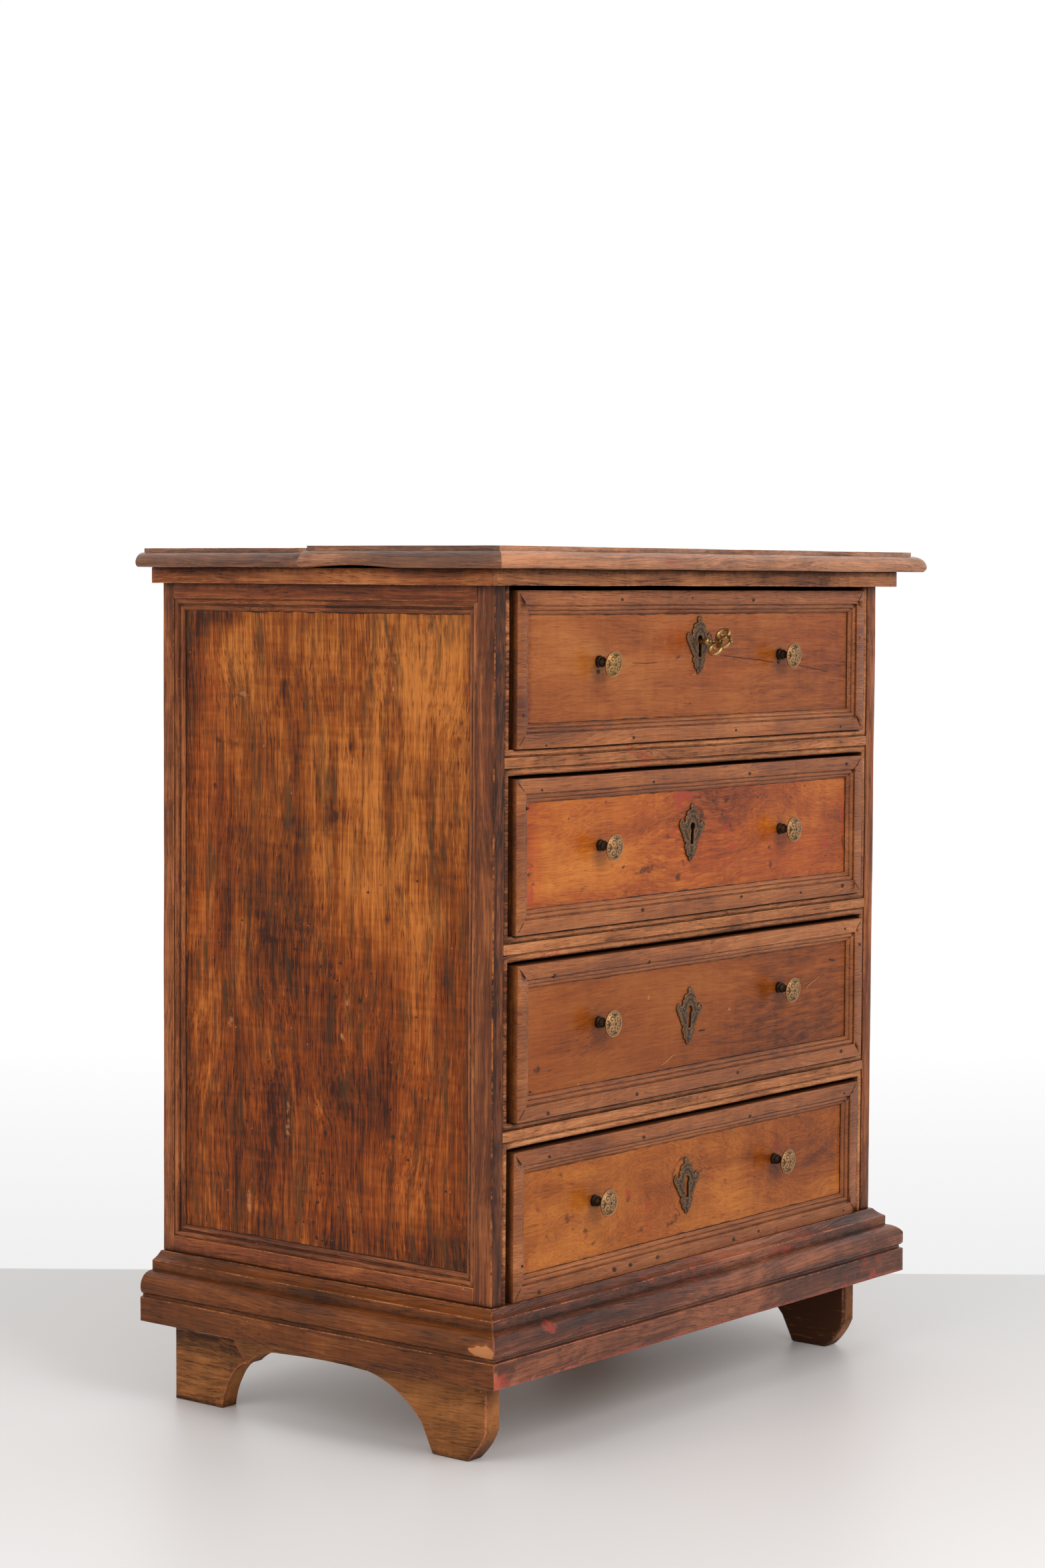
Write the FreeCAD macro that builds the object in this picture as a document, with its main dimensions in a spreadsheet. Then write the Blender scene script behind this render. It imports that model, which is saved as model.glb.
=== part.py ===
"""A small walnut chest of four drawers with brass knobs, key plates and two locks.

X runs along the front, Y from the front to the back, Z up. The origin lies on the floor
under the middle of the top. All lengths are millimetres. Drawer 1 is the top one.
"""
import FreeCAD, Part
import math
import os
import Sketcher

DRAWERS = (1, 2, 3, 4)
LOCKED_DRAWERS = (1, 2)

# The driving sizes, in groups that follow the pieces.
SIZES = {
    # the case
    "carcass_width": 718.8,
    "carcass_depth": 471.2,
    "opening_1": 168.6,
    "opening_2": 165.5,
    "opening_3": 167.0,
    "opening_4": 161.5,
    "post_width": 25.4,
    "post_front_depth": 23.6,
    "post_rear_depth": 16.0,
    "side_rail_top": 16.6,
    "side_rail_bottom": 18.0,
    "panel_thickness": 12.0,
    "panel_recess": 6.0,
    "panel_moulding_width": 13.0,
    "panel_moulding_height": 5.5,
    "back_thickness": 10.0,
    "back_rebate": 12.0,
    "back_joint": 0.6,
    "bottom_thickness": 12.0,
    # the rails between the drawers and the beads round the openings
    "rail_depth": 50.0,
    "rail_flat": 11.0,
    "bottom_rail_height": 20.0,
    "bead_width": 8.0,
    "bead_depth": 10.0,
    "bead_quirk_width": 1.4,
    "bead_quirk_depth": 1.8,
    # the runners and the drawers' room
    "runner_height": 20.0,
    "runner_width": 36.0,
    "guide_height": 25.0,
    "guide_clearance": 0.8,
    "run_clearance": 0.4,
    "stop_clearance": 1.0,
    # the frieze and the top
    "frieze_height": 17.4,
    "frieze_overhang": 18.0,
    "frieze_facing": 6.5,
    "top_thickness": 23.0,
    "top_rear_thickness": 20.6,
    "top_overhang": 43.0,
    "top_front_depth": 274.0,
    "top_joint": 0.5,
    "top_fillet_height": 4.8,
    "top_nose_upper": 13.5,
    "top_nose_under": 2.8,
    # the base and the planks that stand under the sides
    "foot_height": 91.5,
    "base_height": 74.5,
    "base_over_left": 37.0,
    "base_over_right": 25.0,
    "base_over_front": 34.0,
    "foot_inset_left": 38.5,
    "foot_inset_right": 44.0,
    "foot_inset_front": 41.5,
    "foot_inset_rear": 17.0,
    "foot_thickness": 23.0,
    "foot_front_length": 164.5,
    "foot_front_pad": 48.0,
    "foot_toe": 24.5,
    "foot_toe_rise": 34.0,
    "foot_rear_pad": 71.7,
    "arch_front_spring": 74.1,
    "arch_rear_spring": 55.5,
    "arch_rear_reach": 38.1,
    "arch_seam_run": 33.2,
    "arch_shoulder": 46.6,
    # the drawers
    "drawer_side_gap": 7.0,
    "drawer_top_gap_1": 5.0,
    "drawer_top_gap_2": 3.6,
    "drawer_top_gap_3": 3.8,
    "drawer_top_gap_4": 4.4,
    "proud_1": 4.0,
    "proud_2": 4.0,
    "proud_3": 7.0,
    "proud_4": 3.0,
    "front_thickness": 18.0,
    "frame_width": 25.0,
    "frame_flat": 15.0,
    "frame_height": 7.5,
    "drawer_side_thickness": 11.0,
    "drawer_side_drop": 12.0,
    "drawer_bottom_thickness": 8.0,
    # the knobs: the places and the droop, in degrees, of each worn pair
    "knob_left_x_1": -179.4,
    "knob_left_x_2": -175.0,
    "knob_left_x_3": -179.2,
    "knob_left_x_4": -179.4,
    "knob_right_x_1": 161.5,
    "knob_right_x_2": 165.9,
    "knob_right_x_3": 162.7,
    "knob_right_x_4": 162.4,
    "knob_left_rise_1": 88.4,
    "knob_left_rise_2": 85.0,
    "knob_left_rise_3": 90.0,
    "knob_left_rise_4": 85.8,
    "knob_right_rise_1": 91.0,
    "knob_right_rise_2": 84.0,
    "knob_right_rise_3": 95.7,
    "knob_right_rise_4": 85.4,
    "knob_left_droop_1": 8.0,
    "knob_left_droop_2": 4.5,
    "knob_left_droop_3": 0.5,
    "knob_left_droop_4": 1.0,
    "knob_right_droop_1": 3.0,
    "knob_right_droop_2": 0.5,
    "knob_right_droop_3": 5.5,
    "knob_right_droop_4": 3.0,
    "knob_root": 2.0,
    "knob_rim_reach": 20.8,
    "knob_dome_rise": 2.7,
    "knob_disc_radius": 14.5,
    "knob_disc_thickness": 1.8,
    "knob_boss_radius": 6.4,
    "knob_boss_length": 9.5,
    "knob_neck_radius": 3.7,
    # the key plates, their keyholes and their pins
    "plate_x_1": 3.1,
    "plate_x_2": -7.8,
    "plate_x_3": -14.0,
    "plate_x_4": -11.0,
    "keyhole_rise_1": 109.8,
    "keyhole_rise_2": 95.9,
    "keyhole_rise_3": 87.1,
    "keyhole_rise_4": 85.1,
    "plate_half_width": 23.8,
    "plate_above": 25.3,
    "plate_below": 38.5,
    "plate_thickness": 2.8,
    "keyhole_radius": 4.6,
    "keyhole_slot_width": 5.8,
    "keyhole_slot_length": 19.5,
    "pin_radius": 1.8,
    "pin_height": 1.2,
    "pin_left_reach": 11.2,
    "pin_right_reach": 15.5,
    "pin_ear_rise": 0.8,
    "pin_foot_drop": 30.8,
    # the locks
    "lock_width": 66.0,
    "lock_depth": 13.0,
    "lock_wall": 1.5,
    "lock_bit_room": 2.0,
    "lock_top_gap": 1.0,
    "bolt_width": 24.0,
    "bolt_thickness": 5.0,
    "bolt_clearance": 0.3,
    "mortise_depth": 9.0,
    "mortise_room": 1.5,
    # the key in drawer 1
    "key_turned": 42.0,
    "key_sag": 2.6,
    "shank_play": 0.4,
    "shank_clearance": 0.3,
    "shank_tip": 0.5,
    "bit_play": 1.9,
    "bit_thickness": 2.4,
    "bit_length": 8.0,
    "bit_clearance": 0.6,
    "collar_radius": 4.6,
    "collar_length": 10.6,
    "collar_clearance": 5.2,
    "bow_neck_radius": 2.2,
    "bow_ring_radius": 7.2,
    "bow_wire_radius": 1.5,
    "bow_spread": 10.6,
    "bow_ring_gap": 0.5,
    "bow_outer_step": 7.6,
    "bow_ball_radius": 2.1,
    # how far a cutting or trimming shape runs past what it cuts
    "overrun": 1.0,
}

# Each table below holds shares of named sizes, with the bulge of the stretch that follows:
# its rise as a share of its chord, outwards where it is positive.

# The base, from its top arris down: shares of the overhang and of the height.
BASE_SHARES = (
    (0.12, 0.0, -0.06),
    (0.49, 0.115, 0.0),
    (0.49, 0.255, 0.0),
    (0.56, 0.262, 0.27),
    (0.955, 0.57, 0.0),
    (0.89, 0.585, 0.0),
    (0.89, 0.62, 0.0),
    (1.0, 0.635, 0.0),
    (1.0, 1.0, 0.0),
)

# A drawer's face frame, from the flat inwards: shares of the moulded width and the height.
FRAME_SHARES = (
    (0.0, 1.0, 0.0),
    (0.0, 0.74, 0.0),
    (0.12, 0.74, 0.24),
    (0.54, 0.60, 0.0),
    (0.58, 0.42, 0.20),
    (0.92, 0.24, 0.0),
    (1.0, 0.16, 0.0),
)

# The moulding round a side panel, inwards: shares of its width and its height.
SIDE_SHARES = (
    (0.0, 0.86, 0.0),
    (0.08, 0.86, 0.26),
    (0.46, 0.74, 0.0),
    (0.50, 0.38, 0.0),
    (0.58, 0.38, 0.26),
    (0.92, 0.34, 0.0),
    (1.0, 0.16, 0.0),
)

# The nose of the top: where it is widest, as a share of its height, and its bulge.
NOSE_WIDEST_SHARE = 0.46
NOSE_BULGE_SHARE = 0.18

# The bead round a drawer opening: its bulge.
BEAD_BULGE_SHARE = 0.26

# The front foot's curve from its pad to the seam: shares of the run and of the spring.
FOOT_FRONT_SHARES = ((0.16, 0.41, -0.09),)
FOOT_TOE_BULGE_SHARE = 0.06

# The board between the feet: the share of its run that the crown spans, and its bulges.
ARCH_CROWN_SHARE = 0.73
ARCH_CROWN_BULGE_SHARE = -0.015
ARCH_REAR_BULGE_SHARE = -0.10
ARCH_CROWN_DROP_SHARE = 0.005

# The rear foot's curve from the board's end down to its pad: shares of run and spring.
FOOT_REAR_SHARES = ((0.53, 0.79, -0.04), (0.71, 0.60, -0.06))

# The key plate, up its right side from the lower tip: shares of the half width and of the
# rise above or the drop below the keyhole's centre.
PLATE_SHARES = (
    (0.0, -1.0, 0.22),
    (0.14, -0.905, 0.24),
    (0.34, -0.755, 0.36),
    (0.40, -0.515, 0.05),
    (0.985, -0.06, 0.26),
    (0.72, 0.285, 0.18),
    (0.54, 0.20, 0.0),
    (0.47, 0.45, 0.20),
    (0.155, 0.73, 0.40),
    (0.0, 1.0, 0.0),
)

# A knob outwards from the board: shares of the boss's radius and length, then of the disc's
# radius and thickness behind its rim, then of the disc's radius and the dome's rise.
BOSS_SHARES = ((0.84, 0.0, 0.18), (0.84, 0.26, 0.0), (0.74, 0.30, 0.30), (0.62, 1.0, 0.0))
DISC_SHARES = ((0.95, 0.90, 0.30), (0.95, 0.0, 0.0), (0.91, 0.0, 0.0), (0.88, 0.35, 0.07))
DOME_SHARES = ((0.17, 1.0), (0.11, 0.85), (0.0, 0.85))

# The key's collar and the bead before its bow: shares of the collar's radius and length.
COLLAR_SHARES = (
    (0.70, 0.0, 0.16),
    (0.78, 0.58, 0.0),
    (0.50, 0.64, 0.0),
    (0.50, 0.70, 0.30),
    (0.46, 0.96, 0.0),
    (0.46, 1.0, 0.0),
)

# How far a pin's crown spans its radius, and how deep the key's ball sits on its ring.
PIN_CROWN_SHARE = 0.5
BALL_SEAT_SHARE = 0.8


class Dim:
    """A length that carries its value and the sheet formula that gives it."""

    def __init__(self, value, text):
        self.value = value
        self.text = text

    @staticmethod
    def of(other):
        """Take a Dim as it is and wrap a plain factor."""
        return other if isinstance(other, Dim) else Dim(float(other), repr(float(other)))

    def __add__(self, other):
        other = Dim.of(other)
        return Dim(self.value + other.value, f"({self.text} + {other.text})")

    def __sub__(self, other):
        other = Dim.of(other)
        return Dim(self.value - other.value, f"({self.text} - {other.text})")

    def __mul__(self, other):
        other = Dim.of(other)
        return Dim(self.value * other.value, f"({self.text} * {other.text})")

    def __truediv__(self, other):
        other = Dim.of(other)
        return Dim(self.value / other.value, f"({self.text} / {other.text})")

    def __neg__(self):
        return Dim(-self.value, f"(0 - {self.text})")

    __rmul__ = __mul__


def distance(start, end):
    """The length between two points of an outline."""
    along = end[0] - start[0]
    up = end[1] - start[1]
    return Dim(math.hypot(along.value, up.value), f"sqrt({along.text}^2 + {up.text}^2)")


doc = FreeCAD.newDocument("chest_of_drawers")
sheet = doc.addObject("Spreadsheet::Sheet", "sizes")
for row, (alias, number) in enumerate(SIZES.items(), start=1):
    sheet.set(f"A{row}", alias)
    sheet.set(f"B{row}", str(number))
    sheet.setAlias(f"B{row}", alias)
doc.recompute()

S = {alias: Dim(float(sheet.get(alias)), f"sizes.{alias}") for alias in SIZES}
ZERO = Dim(0.0, "0")
OVER = S["overrun"]
nodes = []


def bind(thing, prop, size):
    """Tie one property of an object to the sheet."""
    thing.setExpression(prop, size.text)


def node(thing, label):
    """Name a finished sub-part and keep it for writing."""
    thing.Label = label
    nodes.append(thing)
    return thing


def board(name, across, deep, tall):
    """A squared board between three pairs of faces."""
    piece = doc.addObject("Part::Box", name)
    for prop, pair in zip(("Length", "Width", "Height"), (across, deep, tall)):
        bind(piece, prop, pair[1] - pair[0])
    for axis, pair in zip("xyz", (across, deep, tall)):
        bind(piece, f"Placement.Base.{axis}", pair[0])
    return piece


def group(name, pieces):
    """Several separate solids that share one node."""
    cluster = doc.addObject("Part::Compound", name)
    cluster.Links = pieces
    return cluster


def mirrored(name, source):
    """The same piece on the other side of the middle plane."""
    twin = doc.addObject("Part::Mirroring", name)
    twin.Source = source
    twin.Normal = (1, 0, 0)
    twin.Base = (0, 0, 0)
    return twin


def fused(name, pieces):
    """One solid from several that touch or overlap."""
    whole = doc.addObject("Part::MultiFuse", name)
    whole.Shapes = pieces
    whole.Refine = True
    return whole


def shared(name, pieces):
    """What two solids have in common."""
    whole = doc.addObject("Part::MultiCommon", name)
    whole.Shapes = pieces
    return whole


def cut(name, base, tool):
    """A solid with another taken out of it."""
    rest = doc.addObject("Part::Cut", name)
    rest.Base = base
    rest.Tool = tool
    return rest


def rectangle(across, tall):
    """The four corners between two pairs of sides."""
    low, high = across
    bottom, top = tall
    return [(low, bottom), (high, bottom), (high, top), (low, top)]


def other_side(pair):
    """The same span on the other side of the middle plane."""
    return -pair[1], -pair[0]


def draw(sketch, points, bulges=()):
    """Draw a closed outline and tie every corner and arc to the sheet.

    points are pairs of Dims. bulges holds, for each edge that is an arc, its rise as a share
    of its chord, outwards where it is positive.
    """
    bulges = dict(bulges)
    corners = [FreeCAD.Vector(x.value, y.value, 0) for x, y in points]
    count = len(corners)
    area = sum(corners[i].x * corners[(i + 1) % count].y - corners[(i + 1) % count].x * corners[i].y
               for i in range(count))
    sense = 1 if area > 0 else -1
    ends = []
    for place in range(count):
        first = corners[place]
        last = corners[(place + 1) % count]
        share = bulges.get(place, 0.0) * sense
        chord = last - first
        crown = (first + last) * 0.5 + FreeCAD.Vector(chord.y, -chord.x, 0) * share
        if share == 0.0:
            sketch.addGeometry(Part.LineSegment(first, last))
        elif share > 0:
            sketch.addGeometry(Part.Arc(first, crown, last))
        else:
            sketch.addGeometry(Part.Arc(last, crown, first))
        ends.append((2, 1) if share < 0 else (1, 2))
    rules = []
    formulas = []
    for place in range(count):
        after = (place + 1) % count
        rules.append(Sketcher.Constraint("Coincident", place, ends[place][1], after, ends[after][0]))
        for kind, size in zip(("DistanceX", "DistanceY"), points[place]):
            formulas.append((len(rules), size))
            rules.append(Sketcher.Constraint(kind, -1, 1, place, ends[place][0], size.value))
        share = abs(bulges.get(place, 0.0))
        if share > 0:
            radius = distance(points[place], points[after]) * ((0.25 + share * share) / (2 * share))
            formulas.append((len(rules), radius))
            rules.append(Sketcher.Constraint("Radius", place, radius.value))
    sketch.addConstraint(rules)
    for number, size in formulas:
        bind(sketch, f"Constraints[{number}]", size)
    return sketch


# Each plane with the turn that lays a sketch on it, the axis that it faces and the way.
PLANES = {
    "XY_Plane": (FreeCAD.Rotation(FreeCAD.Vector(0, 0, 1), 0), "z", 1),
    "XZ_Plane": (FreeCAD.Rotation(FreeCAD.Vector(1, 0, 0), 90), "y", -1),
    "YZ_Plane": (FreeCAD.Rotation(FreeCAD.Vector(1, 1, 1), 120), "x", 1),
}
AXIS_VECTORS = {"x": (1, 0, 0), "y": (0, 1, 0), "z": (0, 0, 1)}


def swept(name, plane, points, start, end, bulges=()):
    """A straight length of one section, from start to end along the plane's axis."""
    turn, axis, _ = PLANES[plane]
    sketch = doc.addObject("Sketcher::SketchObject", name + "_section")
    sketch.Placement = FreeCAD.Placement(FreeCAD.Vector(), turn)
    bind(sketch, f"Placement.Base.{axis}", start)
    draw(sketch, points, bulges)
    length = doc.addObject("Part::Extrusion", name)
    length.Base = sketch
    length.DirMode = "Custom"
    length.Dir = AXIS_VECTORS[axis]
    length.Solid = True
    bind(length, "LengthFwd", end - start)
    return length


def new_body(name):
    """An empty body."""
    return doc.addObject("PartDesign::Body", name)


def body_sketch(body, name, plane, place):
    """A sketch on one of the body's own planes, moved along that plane's axis."""
    sketch = body.newObject("Sketcher::SketchObject", name)
    support = next(face for face in body.Origin.OriginFeatures if face.Role == plane)
    sketch.AttachmentSupport = (support, [""])
    sketch.MapMode = "FlatFace"
    bind(sketch, "AttachmentOffset.Base.z", place if PLANES[plane][2] > 0 else -place)
    return sketch


def pad(body, name, plane, points, start, end, bulges=()):
    """Add a straight solid between two places along the plane's axis."""
    sketch = draw(body_sketch(body, name + "_sketch", plane, start), points, bulges)
    feature = body.newObject("PartDesign::Pad", name)
    feature.Profile = sketch
    feature.Reversed = PLANES[plane][2] < 0
    bind(feature, "Length", end - start)
    body.Tip = feature
    return feature


def pocket(body, name, plane, points, start, end):
    """Cut a straight-sided hollow between two places along the plane's axis."""
    mouth = end if PLANES[plane][2] > 0 else start
    sketch = draw(body_sketch(body, name + "_sketch", plane, mouth), points)
    feature = body.newObject("PartDesign::Pocket", name)
    feature.Profile = sketch
    bind(feature, "Length", end - start)
    body.Tip = feature
    return feature


def drill(body, name, centre, radius, start, end):
    """Cut a round hole along Y."""
    sketch = body_sketch(body, name + "_sketch", "XZ_Plane", start)
    middle = FreeCAD.Vector(centre[0].value, centre[1].value, 0)
    sketch.addGeometry(Part.Circle(middle, FreeCAD.Vector(0, 0, 1), radius.value))
    sketch.addConstraint(Sketcher.Constraint("Radius", 0, radius.value))
    sketch.addConstraint(Sketcher.Constraint("DistanceX", -1, 1, 0, 3, centre[0].value))
    sketch.addConstraint(Sketcher.Constraint("DistanceY", -1, 1, 0, 3, centre[1].value))
    for number, size in enumerate((radius, *centre)):
        bind(sketch, f"Constraints[{number}]", size)
    feature = body.newObject("PartDesign::Pocket", name)
    feature.Profile = sketch
    bind(feature, "Length", end - start)
    body.Tip = feature
    return feature


def turned(body, name, points, bulges=()):
    """Turn an outline about the body's own Y axis."""
    sketch = draw(body_sketch(body, name + "_sketch", "XY_Plane", ZERO), points, bulges)
    feature = body.newObject("PartDesign::Revolution", name)
    feature.Profile = sketch
    feature.ReferenceAxis = (sketch, ["V_Axis"])
    feature.Angle = 360
    body.Tip = feature
    return feature


def stand(body, place, axis=None, angle=None):
    """Put a body's own origin at a place, turned about one axis by a named angle."""
    if axis:
        turn = FreeCAD.Rotation(FreeCAD.Vector(*AXIS_VECTORS[axis]), angle.value)
        body.Placement = FreeCAD.Placement(FreeCAD.Vector(), turn)
        bind(body, "Placement.Rotation.Angle", angle)
    for letter, size in zip("xyz", place):
        bind(body, f"Placement.Base.{letter}", size)


# Faces of the case
LEFT = -(S["carcass_width"] / 2)
RIGHT = S["carcass_width"] / 2
BACK = (S["carcass_depth"] + S["top_overhang"]) / 2
FRONT = BACK - S["carcass_depth"]

# Levels from the floor up
PLINTH_BOTTOM = S["foot_height"]
CARCASS_BOTTOM = PLINTH_BOTTOM + S["base_height"]
RAIL_HEIGHT = S["rail_flat"] + 2 * S["bead_width"]
FLOORS = {}
CEILINGS = {}
level = CARCASS_BOTTOM
for number in reversed(DRAWERS):
    FLOORS[number] = level
    CEILINGS[number] = level + S[f"opening_{number}"]
    level = CEILINGS[number] + RAIL_HEIGHT
FRIEZE_BOTTOM = CEILINGS[1]
TOP_BOTTOM = FRIEZE_BOTTOM + S["frieze_height"]

# Inner faces of the case
POST_IN = LEFT + S["post_width"]
POST_FLAT = POST_IN - S["bead_width"]
POST_BACK = FRONT + S["post_front_depth"]
REAR_POST_FRONT = BACK - S["post_rear_depth"]
PANEL_OUT = LEFT + S["panel_recess"]
PANEL_IN = PANEL_OUT + S["panel_thickness"]
PANEL_BOTTOM = CARCASS_BOTTOM + S["side_rail_bottom"]
PANEL_TOP = FRIEZE_BOTTOM - S["side_rail_top"]
BEAD_BACK = FRONT + S["bead_depth"]
RAIL_BACK = FRONT + S["rail_depth"]
BACK_FACE = BACK - S["back_thickness"]

# Faces of the base and of the planks under the sides
BASE_LEFT = LEFT - S["base_over_left"]
BASE_RIGHT = RIGHT + S["base_over_right"]
BASE_FRONT = FRONT - S["base_over_front"]
FOOT_LEFT_OUT = BASE_LEFT + S["foot_inset_left"]
FOOT_LEFT_IN = FOOT_LEFT_OUT + S["foot_thickness"]
FOOT_RIGHT_OUT = BASE_RIGHT - S["foot_inset_right"]
FOOT_RIGHT_IN = FOOT_RIGHT_OUT - S["foot_thickness"]
FOOT_FRONT = BASE_FRONT + S["foot_inset_front"]
FOOT_REAR = BACK - S["foot_inset_rear"]
BOTTOM_RAIL_LOW = CARCASS_BOTTOM - S["bottom_rail_height"]

# The drawers' sides, and the places of each drawer's faces at rest
DRAWER_LEFT = POST_IN + S["drawer_side_gap"]
DRAWER_SIDES = (DRAWER_LEFT, -DRAWER_LEFT)
GUIDE_IN = DRAWER_LEFT - S["guide_clearance"]
FACE = {number: FRONT - S[f"proud_{number}"] for number in DRAWERS}
PANEL = {number: FACE[number] + S["frame_height"] for number in DRAWERS}
BOARD_BACK = {number: PANEL[number] + S["front_thickness"] for number in DRAWERS}
DRAWER_REAR = {number: BACK_FACE - S["stop_clearance"] - S[f"proud_{number}"] for number in DRAWERS}
DRAWER_LOW = {number: FLOORS[number] + S["run_clearance"] for number in DRAWERS}
DRAWER_TOP = {number: CEILINGS[number] - S[f"drawer_top_gap_{number}"] for number in DRAWERS}
KEYHOLE = {number: (S[f"plate_x_{number}"], DRAWER_LOW[number] + S[f"keyhole_rise_{number}"])
           for number in DRAWERS}

# The key hangs in the slot, under the round of its keyhole, and its bit clears the slot's end
SHANK_RADIUS = S["keyhole_slot_width"] / 2 - S["shank_play"]
BIT_REACH = S["keyhole_slot_length"] - S["key_sag"] - S["bit_play"]
KEY_LEVEL = {number: KEYHOLE[number][1] - S["key_sag"] for number in LOCKED_DRAWERS}


def moulding_section(width, height, shares, flat=ZERO):
    """A moulding's section, inwards and up from its outer lower corner, with its bulges."""
    moulded = width - flat
    points = [(ZERO, ZERO)]
    if flat is not ZERO:
        points.append((ZERO, height))
    bulges = {}
    for along, up, bulge in shares:
        if bulge:
            bulges[len(points)] = bulge
        points.append((flat + moulded * along, height * up))
    points.append((width, ZERO))
    return points, bulges


# For each way that a frame faces: its plane, and how its uprights and its level strips turn
# a place in the frame and a depth into a section.
FACINGS = {
    "front": ("XZ_Plane", "XY_Plane", "YZ_Plane", lambda place, depth: (place, depth)),
    "side": ("YZ_Plane", "XY_Plane", "XZ_Plane", lambda place, depth: (depth, place)),
}


def mitred_frame(name, facing, across, tall, ground, width, height, section, sides="LRBT"):
    """The mitred strips of a frame that stands proud of its ground.

    across and tall are the frame's outer edges. sides names the strips that it has: left or
    front, right or rear, bottom, and top. A strip is mitred only where it meets another.
    """
    outline_plane, upright_plane, level_plane, upright_corner = FACINGS[facing]
    points, bulges = section
    low, high = across
    bottom, top = tall
    inner = {"L": low + width if "L" in sides else low, "R": high - width if "R" in sides else high,
             "B": bottom + width if "B" in sides else bottom, "T": top - width if "T" in sides else top}
    outlines = {
        "L": [(low, bottom), (low + width, inner["B"]), (low + width, inner["T"]), (low, top)],
        "R": [(high, bottom), (high - width, inner["B"]), (high - width, inner["T"]), (high, top)],
        "B": [(low, bottom), (inner["L"], bottom + width), (inner["R"], bottom + width), (high, bottom)],
        "T": [(low, top), (inner["L"], top - width), (inner["R"], top - width), (high, top)],
    }
    strips = []
    for side in sides:
        if side in "LR":
            plane = upright_plane
            span = tall
            edge, inwards = (low, 1) if side == "L" else (high, -1)
            corners = [upright_corner(edge + inwards * u, ground - v) for u, v in points]
        else:
            plane = level_plane
            span = across
            edge, inwards = (bottom, 1) if side == "B" else (top, -1)
            corners = [(ground - v, edge + inwards * u) for u, v in points]
        strip_name = f"{name}_{side}"
        length = swept(strip_name + "_length", plane, corners, span[0] - OVER, span[1] + OVER, bulges)
        trim = swept(strip_name + "_trim", outline_plane, outlines[side],
                     ground - height - OVER, ground + OVER)
        strips.append(shared(strip_name, [length, trim]))
    return strips


def make_top():
    """The top: two boards that meet over the case, the front one a little thicker."""
    low = LEFT - S["top_overhang"]
    high = RIGHT + S["top_overhang"]
    nose = FRONT - S["top_overhang"]
    joint = nose + S["top_front_depth"]
    under = S["top_nose_under"]
    upper = S["top_nose_upper"]

    def rounded(tip, inwards, top):
        """The nose's corners at one edge: underside, widest place, fillet and top."""
        fillet = top - S["top_fillet_height"]
        widest = TOP_BOTTOM + (fillet - TOP_BOTTOM) * NOSE_WIDEST_SHARE
        return [(tip + under * inwards, TOP_BOTTOM), (tip, widest),
                (tip + upper * inwards, fillet), (tip + upper * inwards, top)]

    def plank(name, top, start, end):
        """A board moulded along both its ends."""
        points = rounded(high, -1, top) + rounded(low, 1, top)[::-1]
        bulges = {edge: NOSE_BULGE_SHARE for edge in (0, 1, 5, 6)}
        return swept(name, "XZ_Plane", points, start, end, bulges)

    front_top = TOP_BOTTOM + S["top_thickness"]
    length = plank("top_front_length", front_top, nose - OVER, joint)
    points = [(joint, TOP_BOTTOM), (joint, front_top)] + rounded(nose, 1, front_top)[::-1]
    bulges = {3: NOSE_BULGE_SHARE, 4: NOSE_BULGE_SHARE}
    nosing = swept("top_front_nosing", "YZ_Plane", points, low - OVER, high + OVER, bulges)
    node(shared("top_front", [length, nosing]), "top_board_front")
    rear_top = TOP_BOTTOM + S["top_rear_thickness"]
    node(plank("top_rear", rear_top, joint + S["top_joint"], BACK), "top_board_rear")


def make_frieze():
    """The flat band under the top, lapped at its front corners."""
    out = LEFT - S["frieze_overhang"]
    face = FRONT - S["frieze_overhang"]
    lap = face + S["frieze_facing"]
    points = [(out, face), (-out, face), (-out, lap), (RIGHT, lap), (RIGHT, FRONT),
              (LEFT, FRONT), (LEFT, lap), (out, lap)]
    band = new_body("frieze_band")
    pad(band, "frieze_band_pad", "XY_Plane", points, FRIEZE_BOTTOM, TOP_BOTTOM)
    node(band, "frieze_front")
    side = board("frieze_side", (out, LEFT), (lap, BACK), (FRIEZE_BOTTOM, TOP_BOTTOM))
    node(side, "frieze_left")
    node(mirrored("frieze_side_twin", side), "frieze_right")


def make_posts():
    """Four corner posts, rebated for the beads in front and for the back boards behind."""
    tall = (CARCASS_BOTTOM, TOP_BOTTOM)
    front_post = new_body("post_front")
    points = [(LEFT, FRONT), (POST_FLAT, FRONT), (POST_FLAT, BEAD_BACK), (POST_IN, BEAD_BACK),
              (POST_IN, POST_BACK), (LEFT, POST_BACK)]
    pad(front_post, "post_front_pad", "XY_Plane", points, *tall)
    node(front_post, "post_front_left")
    node(mirrored("post_front_twin", front_post), "post_front_right")
    rear_post = new_body("post_rear")
    rebate = POST_IN - S["back_rebate"]
    points = [(LEFT, REAR_POST_FRONT), (POST_IN, REAR_POST_FRONT), (POST_IN, BACK_FACE),
              (rebate, BACK_FACE), (rebate, BACK), (LEFT, BACK)]
    pad(rear_post, "post_rear_pad", "XY_Plane", points, *tall)
    node(rear_post, "post_rear_left")
    node(mirrored("post_rear_twin", rear_post), "post_rear_right")


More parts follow.
